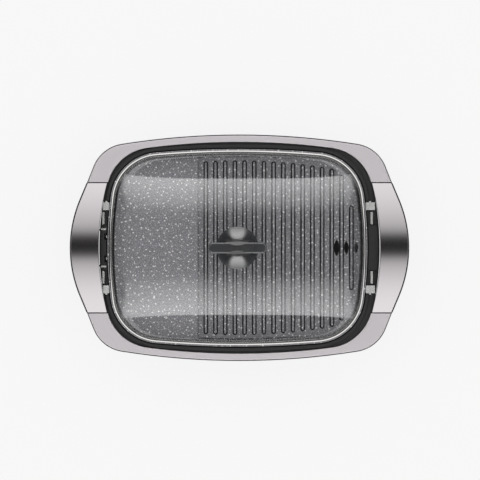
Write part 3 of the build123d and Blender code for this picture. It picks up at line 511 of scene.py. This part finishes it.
def satin_lacquer(name, base):
    """Silver lacquer over ABS: a soft metal sheen from fine flake, with no clear reflections."""
    material, tree, shader, where = finish(name, {"Metallic": 1.0})
    flake = add(tree, "ShaderNodeTexNoise", {"Vector": where, "Scale": per(0.9), "Detail": 2.0})
    drift = add(tree, "ShaderNodeTexNoise", {"Vector": where, "Scale": per(120.0), "Detail": 1.0})
    tone = (flake, shade(base, 0.95), shade(base, 1.05))
    surface(tree, shader, (flake, 0.008, 0.5), (drift, 0.44, 0.5), tone)
    return material


def polished_plate(name, base, least, most):
    """Polished plated metal: clear reflections, broken a little by faint wiping marks."""
    material, tree, shader, where = finish(name, {"Metallic": 1.0, "Base Color": base})
    drawn = add(tree, "ShaderNodeMapping", {"Vector": where, "Scale": (1.0, 0.12, 1.0)})
    wipe = add(tree, "ShaderNodeTexNoise", {"Vector": drawn, "Scale": per(1.2), "Detail": 4.0})
    surface(tree, shader, (wipe, 0.002, 0.25), (wipe, least, most))
    return material


def sprinkle(tree, where, ground, fleck, spacing, core, rim, cover):
    """Lays round flecks on a ground, one in each cell of the spacing, seen from above.

    A fleck covers the ground by a share, and fades from its core to its rim, which are
    shares of the spacing.
    """
    cell = {"Vector": where, "Scale": per(spacing), "Randomness": 1.0}
    distance = add(tree, "ShaderNodeTexVoronoi", cell, voronoi_dimensions="2D")
    spot = set_stops(add(tree, "ShaderNodeValToRGB", {"Fac": distance}), [(core, 1.0), (rim, 0.0)])
    share = add(tree, "ShaderNodeMath", {0: spot, 1: cover}, operation="MULTIPLY")
    tones = {"Factor": share, FIRST: ground, SECOND: fleck}
    return add(tree, "ShaderNodeMix", tones, data_type="RGBA").outputs[MIXED]


def stone_coating(name, base, fleck):
    """Non-stick coating on cast aluminium, sprayed with pale flecks like granite.

    Real flecks are 0.3 to 1.2 mm. The coarse ones are drawn at their upper size so
    that they show. Steep flanks get painted shade: darker and dull, by how far they lean.
    """
    material, tree, shader, where = finish(name, {"IOR": 1.45})
    wobble = add(tree, "ShaderNodeTexNoise", {"Vector": where, "Scale": per(3.5), "Detail": 2.0})
    reach = {0: wobble.outputs["Color"], 1: (3.2 * MM, 3.2 * MM, 3.2 * MM)}
    shift = add(tree, "ShaderNodeVectorMath", reach, operation="MULTIPLY")
    bent = add(tree, "ShaderNodeVectorMath", {0: where, 1: shift}, operation="ADD")
    mottle = add(tree, "ShaderNodeTexNoise", {"Vector": where, "Scale": per(5.0), "Detail": 5.0})
    tones = {"Factor": mottle, FIRST: shade(base, 0.72), SECOND: shade(base, 1.28)}
    tone = add(tree, "ShaderNodeMix", tones, data_type="RGBA").outputs[MIXED]
    tone = sprinkle(tree, bent, tone, fleck, 2.4, 0.12, 0.3, 0.28)
    tone = sprinkle(tree, bent, tone, fleck, 5.2, 0.08, 0.15, 0.5)
    tone = sprinkle(tree, bent, tone, fleck, 9.0, 0.08, 0.13, 1.0)
    # Painted shade: faces that lean away from straight up are darkened and lose their gloss, by
    # their facing
    facing = add(tree, "ShaderNodeTexCoord", {}).outputs["Normal"]
    upward = add(tree, "ShaderNodeSeparateXYZ", {"Vector": facing}).outputs["Z"]
    level = set_stops(add(tree, "ShaderNodeValToRGB", {"Fac": upward}), [(0.55, 0.0), (0.97, 1.0)])
    gleam = add(tree, "ShaderNodeMath", {0: level, 1: 0.5}, operation="MULTIPLY")
    wire(tree, shader, {"Specular IOR Level": gleam})
    grit = add(tree, "ShaderNodeTexNoise", {"Vector": where, "Scale": per(0.8), "Detail": 3.0})
    # Painted shade on steep flanks: near black where the facing mask is low
    tone = (level, shade(base, 0.08), tone)
    surface(tree, shader, (grit, 0.04, 0.5), (mottle, 0.36, 0.5), tone)
    return material


def tempered_glass(name):
    """Tempered soda-lime glass: clear, with a hard gloss. Lamps reach what is under it.

    Its IOR is above the usual 1.52, to mirror the lamps as strongly as both faces do.
    """
    glass = {"Base Color": (0.955, 0.955, 0.96, 1.0), "Roughness": 0.012, "IOR": 1.8}
    material, tree, shader, where = finish(name, {**glass, "Transmission Weight": 1.0})
    swell = add(tree, "ShaderNodeTexNoise", {"Vector": where, "Scale": per(90.0), "Detail": 1.0})
    surface(tree, shader, (swell, 0.05, 0.2))
    path = add(tree, "ShaderNodeLightPath", {}).outputs
    lit = {0: path["Is Shadow Ray"], 1: path["Is Diffuse Ray"]}
    lighting = add(tree, "ShaderNodeMath", lit, operation="MAXIMUM")
    clear = add(tree, "ShaderNodeBsdfTransparent", {"Color": (0.965, 0.965, 0.97, 1.0)})
    mixed = add(tree, "ShaderNodeMixShader", {0: lighting, 1: shader, 2: clear})
    wire(tree, tree.nodes["Material Output"], {"Surface": mixed})
    return material


def heat_tinted_steel(name, base):
    """Nickel-alloy sheath that heat has tinted: brown and straw bands, dull."""
    material, tree, shader, where = finish(name, {"Metallic": 0.9})
    tint = add(tree, "ShaderNodeTexNoise", {"Vector": where, "Scale": per(35.0), "Detail": 4.0})
    bands = [(0.3, shade(base, 0.7)), (0.52, base), (0.7, linear("#8a7a5c"))]
    tone = set_stops(add(tree, "ShaderNodeValToRGB", {"Fac": tint}), bands)
    wire(tree, shader, {"Base Color": tone})
    scale = add(tree, "ShaderNodeTexNoise", {"Vector": where, "Scale": per(0.6)})
    surface(tree, shader, (scale, 0.01, 0.4), (tint, 0.4, 0.55))
    return material


def rolled_sheet(name, base):
    """Rolled and pressed sheet: fine lines along the rolling direction, some dull patches."""
    material, tree, shader, where = finish(name, {"Metallic": 1.0})
    drawn = add(tree, "ShaderNodeMapping", {"Vector": where, "Scale": (0.02, 1.0, 1.0)})
    lines = add(tree, "ShaderNodeTexNoise", {"Vector": drawn, "Scale": per(0.8), "Detail": 3.0})
    patch = add(tree, "ShaderNodeTexNoise", {"Vector": where, "Scale": per(25.0), "Detail": 3.0})
    tone = (patch, shade(base, 0.85), shade(base, 1.1))
    surface(tree, shader, (lines, 0.006, 0.5), (lines, 0.28, 0.46), tone)
    return material


def unglazed_steatite(name, base):
    """Steatite ceramic, fired without a glaze: chalky and slightly uneven."""
    material, tree, shader, where = finish(name, {"Roughness": 0.6, "IOR": 1.6})
    speck = add(tree, "ShaderNodeTexNoise", {"Vector": where, "Scale": per(1.5), "Detail": 4.0})
    tone = (speck, shade(base, 0.88), shade(base, 1.05))
    surface(tree, shader, (speck, 0.03, 0.4), tone=tone)
    return material


def moulded_rubber(name, base):
    """Moulded rubber: dull, with dusty patches."""
    material, tree, shader, where = finish(name, {"IOR": 1.52})
    dust = add(tree, "ShaderNodeTexNoise", {"Vector": where, "Scale": per(3.0), "Detail": 4.0})
    tone = (dust, base, shade(base, 2.0))
    surface(tree, shader, (dust, 0.03, 0.5), (dust, 0.65, 0.85), tone)
    return material


def semi_gloss_phenolic(name, base):
    """Compression-moulded phenolic: a hard semi-gloss that softens what it mirrors."""
    material, tree, shader, where = finish(name, {"IOR": 2.2})
    flow = add(tree, "ShaderNodeTexNoise", {"Vector": where, "Scale": per(14.0), "Detail": 3.0})
    grain = add(tree, "ShaderNodeTexNoise", {"Vector": where, "Scale": per(0.7)})
    tone = (flow, shade(base, 0.85), shade(base, 1.15))
    surface(tree, shader, (grain, 0.012, 0.4), (flow, 0.16, 0.22), tone)
    return material


# Operators, one for each piece or group of like pieces


class GRILL_OT_tub(bpy.types.Operator):
    """Dress the tub and the inlet's shroud in black moulding"""

    bl_idname = "grill.tub"
    bl_label = "Tub"

    def execute(self, context):
        black = spark_eroded_plastic("Polyamide, spark-eroded", colours().body)
        cast_copy("tub", black, bevel=0.4 * MM)
        cast_copy("inlet_shroud", black, bevel=0.5 * MM)
        return {"FINISHED"}


class GRILL_OT_frame(bpy.types.Operator):
    """Dress the upper frame and set its bright guides and springs"""

    bl_idname = "grill.frame"
    bl_label = "Upper frame"

    def execute(self, context):
        black = spark_eroded_plastic("Polyamide, satin", colours().body)
        cast_copy("upper_frame", black, bevel=0.4 * MM)
        bright = polished_plate("Nickel-plated steel", colours().bright, 0.2, 0.32)
        cast_copy("plate_guides", bright, bevel=0.3 * MM)
        cast_copy("ledge_springs", bright, bevel=0.3 * MM)
        return {"FINISHED"}


class GRILL_OT_rims(bpy.types.Operator):
    """Dress the long rims in satin silver"""

    bl_idname = "grill.rims"
    bl_label = "Long rims"

    def execute(self, context):
        silver = satin_lacquer("Silver lacquer over ABS", colours().rim)
        for row in ("front", "rear"):
            cast_copy(f"{row}_trim", silver)
        return {"FINISHED"}


class GRILL_OT_handles(bpy.types.Operator):
    """Model the arched handle covers and dress the grips under them"""

    bl_idname = "grill.handles"
    bl_label = "Handles"

    def execute(self, context):
        black = spark_eroded_plastic("Polyamide grip", colours().grip, gloss=0.45)
        chrome = polished_plate("Plated handle cover", colours().cover, 0.07, 0.11)
        for side, sign in (("left", -1), ("right", 1)):
            cast_copy(f"{side}_handle_grip", black)
            self.cover(side, sign, chrome)
        return {"FINISHED"}

    def cover(self, side, sign, chrome):
        """Bends a grid into the arch between the inner and outer lines of one handle."""
        node = f"{side}_handle_cover"
        low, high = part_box(node)
        half_span = high.y / MM
        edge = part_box("rear_trim")[1].z / MM
        crown = math.hypot(half_span + SEAM_REACH, ARCH_FLAT) - ARCH_FLAT
        steep = (high.z / MM - edge) / crown
        bm = bmesh.new()
        bmesh.ops.create_grid(bm, x_segments=10, y_segments=96, size=1.0)
        for vert in bm.verts:
            y = vert.co.y * half_span
            share = (vert.co.x + 1) / 2
            inner, outer = HANDLE_LINE.x_at(y), flank_x(y)
            top = high.z / MM - steep * (math.hypot(y, ARCH_FLAT) - ARCH_FLAT)
            vert.co = (sign * (inner + (outer - inner) * share) * MM, y * MM, top * MM)
        bmesh.ops.recalc_face_normals(bm, faces=bm.faces)
        if sum(face.normal.z for face in bm.faces) < 0:
            bmesh.ops.reverse_faces(bm, faces=bm.faces)
        bmesh.ops.solidify(bm, geom=bm.faces[:], thickness=sizes().cover_thickness)
        piece = new_piece(f"{node}_polished", bm, "base", node, 40.0)
        piece.data.materials.append(chrome)
        soften(piece, sizes().cover_edge, 3, 50.0)


class GRILL_OT_plate(bpy.types.Operator):
    """Dress the cast plate in its stone-effect coating and its lugs in bright clips"""

    bl_idname = "grill.plate"
    bl_label = "Grill plate"

    def execute(self, context):
        stone = stone_coating("Stone-effect coating", colours().plate, colours().fleck)
        cast_copy("grill_plate", stone)
        bright = polished_plate("Nickel-plated clip", colours().bright, 0.22, 0.34)
        for row in ("front", "rear"):
            for side in ("left", "right"):
                cast_copy(f"rest_clip_{row}_{side}", bright, bevel=0.3 * MM)
        return {"FINISHED"}


class GRILL_OT_heater(bpy.types.Operator):
    """Dress the heater, its terminals and the guard over them"""

    bl_idname = "grill.heater"
    bl_label = "Heater and terminals"

    def execute(self, context):
        sheath = heat_tinted_steel("Heat-tinted sheath", colours().sheath)
        cast_copy("heating_element", sheath)
        pin = polished_plate("Nickel-plated pin", colours().bright, 0.18, 0.3)
        cast_copy("terminal_pins", pin)
        cast_copy("probe_sleeve", pin)
        bead = unglazed_steatite("Steatite ceramic", colours().ceramic)
        cast_copy("terminal_insulators", bead)
        sheet = rolled_sheet("Galvanised sheet", colours().sheet)
        cast_copy("terminal_guard", sheet, bevel=0.3 * MM)
        return {"FINISHED"}


class GRILL_OT_reflector(bpy.types.Operator):
    """Dress the heat reflector in the tub"""

    bl_idname = "grill.reflector"
    bl_label = "Heat reflector"

    def execute(self, context):
        sheet = rolled_sheet("Aluminium sheet", colours().sheet)
        cast_copy("reflector_pan", sheet)
        return {"FINISHED"}


class GRILL_OT_glass(bpy.types.Operator):
    """Model the domed pane of the lid"""

    bl_idname = "grill.glass"
    bl_label = "Glass pane"

    def execute(self, context):
        low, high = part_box("lid_glass")
        foot = low.z / MM + PANE_LIFT
        boss = high.z / MM - foot - pane_rise(0.0, 0.0)
        bm = bmesh.new()
        loops = []
        for i in range(PANE_LOOPS):
            share = 1 - (1 - i / (PANE_LOOPS - 1)) ** LOOP_CROWDING
            line = PANE_LINE.shrunk(PANE_TOP, share)
            start = bm.verts.new((line.half_x * MM, 0.0, 0.0))
            verts = trace(bm, [start], [], line)
            loops.append(list({edge for vert in verts for edge in vert.link_edges}))
        loops.append(self.hole(bm, len(loops[-1])))
        for outer, inner in zip(loops, loops[1:]):
            bmesh.ops.bridge_loops(bm, edges=outer + inner)
        bmesh.ops.recalc_face_normals(bm, faces=bm.faces)
        for vert in bm.verts:
            x, y = vert.co.x / MM - PLATE_SHIFT, vert.co.y / MM
            near = min(math.hypot(x, y) / BOSS_RADIUS, 1.0)
            lift = boss * (1 + math.cos(math.pi * near)) / 2
            vert.co.z = (foot + pane_rise(x, y) + lift) * MM
        bm.normal_update()
        if sum(face.normal.z for face in bm.faces) < 0:
            bmesh.ops.reverse_faces(bm, faces=bm.faces)
        bmesh.ops.solidify(bm, geom=bm.faces[:], thickness=sizes().glass_thickness)
        for vert in bm.verts:
            vert.co.z = max(vert.co.z, low.z)
        piece = new_piece("lid_glass_domed", bm, "lid", "lid_glass", 60.0)
        piece.data.materials.append(tempered_glass("Tempered soda-lime glass"))
        return {"FINISHED"}

    def hole(self, bm, segments):
        """Edges of the round hole under the knob."""
        centre = Matrix.Translation((PLATE_SHIFT * MM, 0.0, 0.0))
        radius = HOLE_RADIUS * MM
        made = bmesh.ops.create_circle(bm, segments=segments, radius=radius, matrix=centre)
        verts = made["verts"]
        return [e for e in bm.edges if all(v in verts for v in e.verts)]


class GRILL_OT_ring(bpy.types.Operator):
    """Model the rolled steel ring round the pane"""

    bl_idname = "grill.ring"
    bl_label = "Lid ring"

    def execute(self, context):
        low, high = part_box("lid_ring")
        foot, top = low.z / MM, high.z / MM
        width = sizes().ring_width / MM
        bead = sizes().ring_bead / MM
        slot_floor, slot_end, slot_roof = foot + 1.3, foot + 2.2, foot + 3.9
        wall, foot_round, edge_round = 1.3, 0.8, 0.3
        profile = [(-width, slot_floor), (-width, foot)]
        profile += [(-foot_round, foot), (0.0, foot + foot_round)]
        radius = bead / (math.sin(BEAD_OUTER) - math.sin(BEAD_INNER))
        for i in range(BEAD_STEPS + 1):
            lean = BEAD_OUTER + (BEAD_INNER - BEAD_OUTER) * i / BEAD_STEPS
            out = radius * (math.sin(lean) - math.sin(BEAD_OUTER))
            profile.append((out, top + radius * (math.cos(lean) - math.cos(BEAD_INNER))))
        flange = top - (width - bead) * math.tan(FLANGE_LEAN)
        profile += [(-width + edge_round, flange), (-width, flange - edge_round)]
        profile += [(-width, slot_roof), (-wall, slot_end)]
        bm = bmesh.new()
        verts = [
            bm.verts.new(((RING_LINE.half_x + out) * MM, 0.0, up * MM)) for out, up in profile
        ]
        edges = [bm.edges.new(pair) for pair in zip(verts, verts[1:] + verts[:1])]
        trace(bm, verts, edges, RING_LINE)
        bmesh.ops.recalc_face_normals(bm, faces=bm.faces)
        piece = new_piece("lid_ring_rolled", bm, "lid", "lid_ring", 12.0)
        steel = polished_plate("Polished stainless steel", colours().ring, 0.1, 0.18)
        piece.data.materials.append(steel)
        return {"FINISHED"}


class GRILL_OT_knob(bpy.types.Operator):
    """Model the knob's disc and dress its bar and fastenings"""

    bl_idname = "grill.knob"
    bl_label = "Knob"

    def execute(self, context):
        phenolic = semi_gloss_phenolic("Phenolic knob", colours().knob)
        cast_copy("knob_grip", phenolic, smooth=38.0)
        self.disc(phenolic)
        collar = polished_plate("Polished collar", colours().bright, 0.1, 0.2)
        cast_copy("knob_collar", collar)
        zinc = rolled_sheet("Zinc-plated washer", colours().screw)
        cast_copy("knob_inner_washer", zinc)
        cast_copy("knob_screw", zinc)
        return {"FINISHED"}

    def disc(self, phenolic):
        """Lathes the domed disc with a rounded edge."""
        low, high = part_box("knob_base")
        radius = (high.x - low.x) / 2 / MM
        height = (high.z - low.z) / MM
        side = sizes().knob_side / MM
        bore, hub, inside = 13.0, 16.0, radius - 2.2
        bore_depth, hollow_depth, foot_round = 2.6, 2.4, 0.7
        profile = [(0.0, bore_depth), (bore, bore_depth), (bore, 0.0), (hub, 0.0)]
        profile += [(hub, hollow_depth), (inside, hollow_depth), (inside, 0.0)]
        profile += [(radius - foot_round, 0.0), (radius, foot_round)]
        crown = [(0.0, height)]
        for i in range(CROWN_STEPS):
            out = radius * (i + 0.5) / CROWN_STEPS
            past = max(out - CROWN_BREAK, 0.0) / (radius - CROWN_BREAK)
            lean = BREAK_LEAN * min(out / CROWN_BREAK, 1.0) + (EDGE_LEAN - BREAK_LEAN) * past
            fall = math.tan(math.radians(lean)) * radius / CROWN_STEPS
            crown.append((radius * (i + 1) / CROWN_STEPS, crown[-1][1] - fall))
        crown[-1] = (radius, min(crown[-1][1], side))
        profile += reversed(crown)
        bm = bmesh.new()
        centre = ((low.x + high.x) / 2, 0.0, low.z)
        lathe(bm, profile, centre, 96)
        piece = new_piece("knob_base_domed", bm, "lid", "knob_base", 40.0)
        piece.data.materials.append(phenolic)


class GRILL_OT_tray(bpy.types.Operator):
    """Dress the drip tray and its front"""

    bl_idname = "grill.tray"
    bl_label = "Drip tray"

    def execute(self, context):
        satin = spark_eroded_plastic("Polypropylene tray", colours().tray, gloss=0.36)
        cast_copy("drip_tray", satin, bevel=0.4 * MM)
        cast_copy("drip_tray_front", satin)
        return {"FINISHED"}


class GRILL_OT_feet(bpy.types.Operator):
    """Model the ribbed rubber feet"""

    bl_idname = "grill.feet"
    bl_label = "Feet"

    def execute(self, context):
        rubber = moulded_rubber("Moulded rubber", colours().rubber)
        rib = sizes().foot_rib / MM
        for row in ("front", "rear"):
            for side in ("left", "right"):
                self.foot(f"foot_{row}_{side}", rubber, rib)
        return {"FINISHED"}

    def foot(self, node, rubber, rib):
        """Lathes one foot with grip ribs and a recess for its screw."""
        low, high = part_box(node)
        wide = (high.x - low.x) / 2 / MM
        tall = (high.z - low.z) / MM
        bore, recess, seat = 1.75, 4.4, tall - 2.0
        taper, sole_round, sole_height = 1.5, 1.5, 0.5
        ribs, first_rib, pitch = 3, 1.2, 1.7
        profile = [(bore, tall), (bore, seat), (recess, seat), (recess, 0.0)]
        profile += [(wide - taper - sole_round, 0.0), (wide - taper - 0.4, sole_height)]
        for i in range(ribs):
            up = first_rib + i * pitch
            out = wide - taper + taper * up / tall
            profile += [(out - rib, up), (out - rib, up + 0.3), (out, up + 0.6), (out, up + 1.2)]
        profile += [(wide - rib, tall - 0.4), (wide, tall - 0.2), (wide, tall), (bore, tall)]
        bm = bmesh.new()
        centre = ((low.x + high.x) / 2, (low.y + high.y) / 2, low.z)
        lathe(bm, profile, centre, 40)
        piece = new_piece(f"{node}_ribbed", bm, "base", node, 35.0)
        piece.data.materials.append(rubber)


class GRILL_OT_screws(bpy.types.Operator):
    """Dress the screws"""

    bl_idname = "grill.screws"
    bl_label = "Screws"

    def execute(self, context):
        zinc = rolled_sheet("Zinc-plated steel", colours().screw)
        for group in ("reflector", "frame", "handle", "foot", "guard"):
            cast_copy(f"{group}_screws", zinc)
        return {"FINISHED"}


def from_top(*stops):
    """Stops given in degrees from straight up, as shares of 90 degrees."""
    return [(degrees / 90, brightness) for degrees, brightness in stops]


# Two long lamps beside the middle line, brighter outwards, which the handles, the pane and
# the knob mirror. Each has ends, and there is a low panel outside them.
LAMP_RISE = from_top(
    (0.0, 0.008),
    (2.5, 0.018),
    (4.4, 0.05),
    (5.9, 0.12),
    (7.6, 0.24),
    (9.2, 0.33),
    (10.5, 0.39),
    (13.0, 0.46),
    (16.2, 0.55),
    (18.8, 0.63),
    (21.6, 0.7),
    (27.4, 0.72),
    (28.4, 0.01),
)
LAMP_ENDS = from_top((36.5, 1.0), (39.5, 0.0))
LAMP_STRENGTH = 2.3
PANEL_RISE = from_top((42.2, 0.0), (43.2, 1.0), (49.0, 0.6), (60.0, 0.0))
PANEL_ENDS = from_top((24.0, 1.0), (34.0, 0.0))
PANEL_STRENGTH = 4.5

# Brightness by height above the horizon
HORIZON = [(0.0, 0.3), (0.12, 0.5), (0.46, 0.5), (0.53, 0.01)]
HORIZON_STRENGTH = 2.1
LAMPS_LEAN = -0.0185

# Camera and table, in metres, and the lens in millimetres
CAMERA_PLACE = (0.00074, 0.0115, 2.079)
LENS = 101.4
TABLE_RADIUS = 30.0
TABLE_DROP = 0.4 * MM


class GRILL_OT_stage(bpy.types.Operator):
    """Set up the pale table, the soft studio light and the camera above the grill"""

    bl_idname = "grill.stage"
    bl_label = "Stage"

    def execute(self, context):
        self.table(context.scene)
        self.sky(context.scene)
        self.camera(context.scene)
        context.scene.view_settings.view_transform = "Standard"
        context.scene.view_settings.look = "None"
        return {"FINISHED"}

    def table(self, scene):
        """Wide pale table with a faint light of its own, so that it stays even."""
        bm = bmesh.new()
        bmesh.ops.create_circle(bm, cap_ends=True, segments=96, radius=TABLE_RADIUS)
        mesh = bpy.data.meshes.new("Table")
        bm.to_mesh(mesh)
        bm.free()
        table = bpy.data.objects.new("Table", mesh)
        table.location.z = -TABLE_DROP
        scene.collection.objects.link(table)
        paper = {
            "Base Color": (0.09, 0.09, 0.09, 1.0),
            "Roughness": 0.9,
            "Specular IOR Level": 0.0,
            "Emission Color": colours().floor,
            "Emission Strength": 0.915,
        }
        mesh.materials.append(finish("White table", paper)[0])

    def sky(self, scene):
        """Lamps that only mirrors see, and an even pale light for all the rest."""
        world = bpy.data.worlds.new("Studio")
        world.use_nodes = True
        scene.world = world
        tree = world.node_tree
        tree.nodes.clear()
        where = add(tree, "ShaderNodeTexCoord", {}).outputs["Generated"]
        axes = add(tree, "ShaderNodeSeparateXYZ", {"Vector": where}).outputs
        lean = add(tree, "ShaderNodeMath", {0: axes["Z"], 1: LAMPS_LEAN}, operation="MULTIPLY")
        y = add(tree, "ShaderNodeMath", {0: axes["Y"], 1: lean}, operation="ADD")
        along_y = self.angle(tree, y, axes["Z"])
        along_x = self.angle(tree, axes["X"], axes["Z"])
        lamps = self.light(tree, along_y, LAMP_RISE, LAMP_STRENGTH, along_x, LAMP_ENDS)
        panel = self.light(tree, along_y, PANEL_RISE, PANEL_STRENGTH, along_x, PANEL_ENDS)
        horizon = self.light(tree, axes["Z"], HORIZON, HORIZON_STRENGTH)
        high = add(tree, "ShaderNodeMath", {0: panel, 1: lamps}, operation="ADD")
        total = add(tree, "ShaderNodeMath", {0: horizon, 1: high}, operation="ADD")
        studio = add(tree, "ShaderNodeBackground", {"Color": total, "Strength": 1.0})
        pale = add(tree, "ShaderNodeBackground", {"Color": colours().floor, "Strength": 1.0})
        mirrored = add(tree, "ShaderNodeLightPath", {}).outputs["Is Glossy Ray"]
        seen = add(tree, "ShaderNodeMixShader", {0: mirrored, 1: pale, 2: studio})
        add(tree, "ShaderNodeOutputWorld", {"Surface": seen})

    def light(self, tree, along, stops, strength, across=None, ends=None):
        """Brightness of one light by an angle along it, faded by another at its ends."""
        rise = set_stops(add(tree, "ShaderNodeValToRGB", {"Fac": along}), stops)
        shine = add(tree, "ShaderNodeMath", {0: rise, 1: strength}, operation="MULTIPLY")
        if not ends:
            return shine
        fade = set_stops(add(tree, "ShaderNodeValToRGB", {"Fac": across}), ends, "EASE")
        return add(tree, "ShaderNodeMath", {0: shine, 1: fade}, operation="MULTIPLY")

    def angle(self, tree, across, up):
        """Angle from straight up, as a share of 90 degrees."""
        size = add(tree, "ShaderNodeMath", {0: across}, operation="ABSOLUTE")
        turn = add(tree, "ShaderNodeMath", {0: size, 1: up}, operation="ARCTAN2")
        return add(tree, "ShaderNodeMath", {0: turn, 1: math.pi / 2}, operation="DIVIDE")

    def camera(self, scene):
        """Camera straight above, framed as the photograph is."""
        data = bpy.data.cameras.new("Above")
        data.sensor_width = 36.0
        data.lens = LENS
        camera = bpy.data.objects.new("Above", data)
        camera.location = CAMERA_PLACE
        scene.collection.objects.link(camera)
        scene.camera = camera


PIECES = (
    GRILL_OT_tub,
    GRILL_OT_frame,
    GRILL_OT_rims,
    GRILL_OT_handles,
    GRILL_OT_plate,
    GRILL_OT_heater,
    GRILL_OT_reflector,
    GRILL_OT_glass,
    GRILL_OT_ring,
    GRILL_OT_knob,
    GRILL_OT_tray,
    GRILL_OT_feet,
    GRILL_OT_screws,
    GRILL_OT_stage,
)


class GRILL_PT_panel(bpy.types.Panel):
    """Lists the grill's pieces, sizes and colours"""

    bl_idname = "GRILL_PT_panel"
    bl_label = "Table grill"
    bl_space_type = "VIEW_3D"
    bl_region_type = "UI"
    bl_category = "Grill"

    def draw(self, context):
        column = self.layout.column()
        for piece in PIECES:
            column.operator(piece.bl_idname)
        for group in (context.scene.grill_sizes, context.scene.grill_colours):
            for key in group.bl_rna.properties.keys():
                if key not in ("rna_type", "name"):
                    column.prop(group, key)


CLASSES = (GrillSizes, GrillColours, *PIECES, GRILL_PT_panel)


def register():
    for cls in CLASSES:
        bpy.utils.register_class(cls)
    bpy.types.Scene.grill_sizes = bpy.props.PointerProperty(type=GrillSizes)
    bpy.types.Scene.grill_colours = bpy.props.PointerProperty(type=GrillColours)


def unregister():
    del bpy.types.Scene.grill_colours
    del bpy.types.Scene.grill_sizes
    for cls in reversed(CLASSES):
        bpy.utils.unregister_class(cls)


def main():
    register()
    for piece in PIECES:
        group, name = piece.bl_idname.split(".")
        getattr(getattr(bpy.ops, group), name)()


if __name__ == "__main__":
    main()
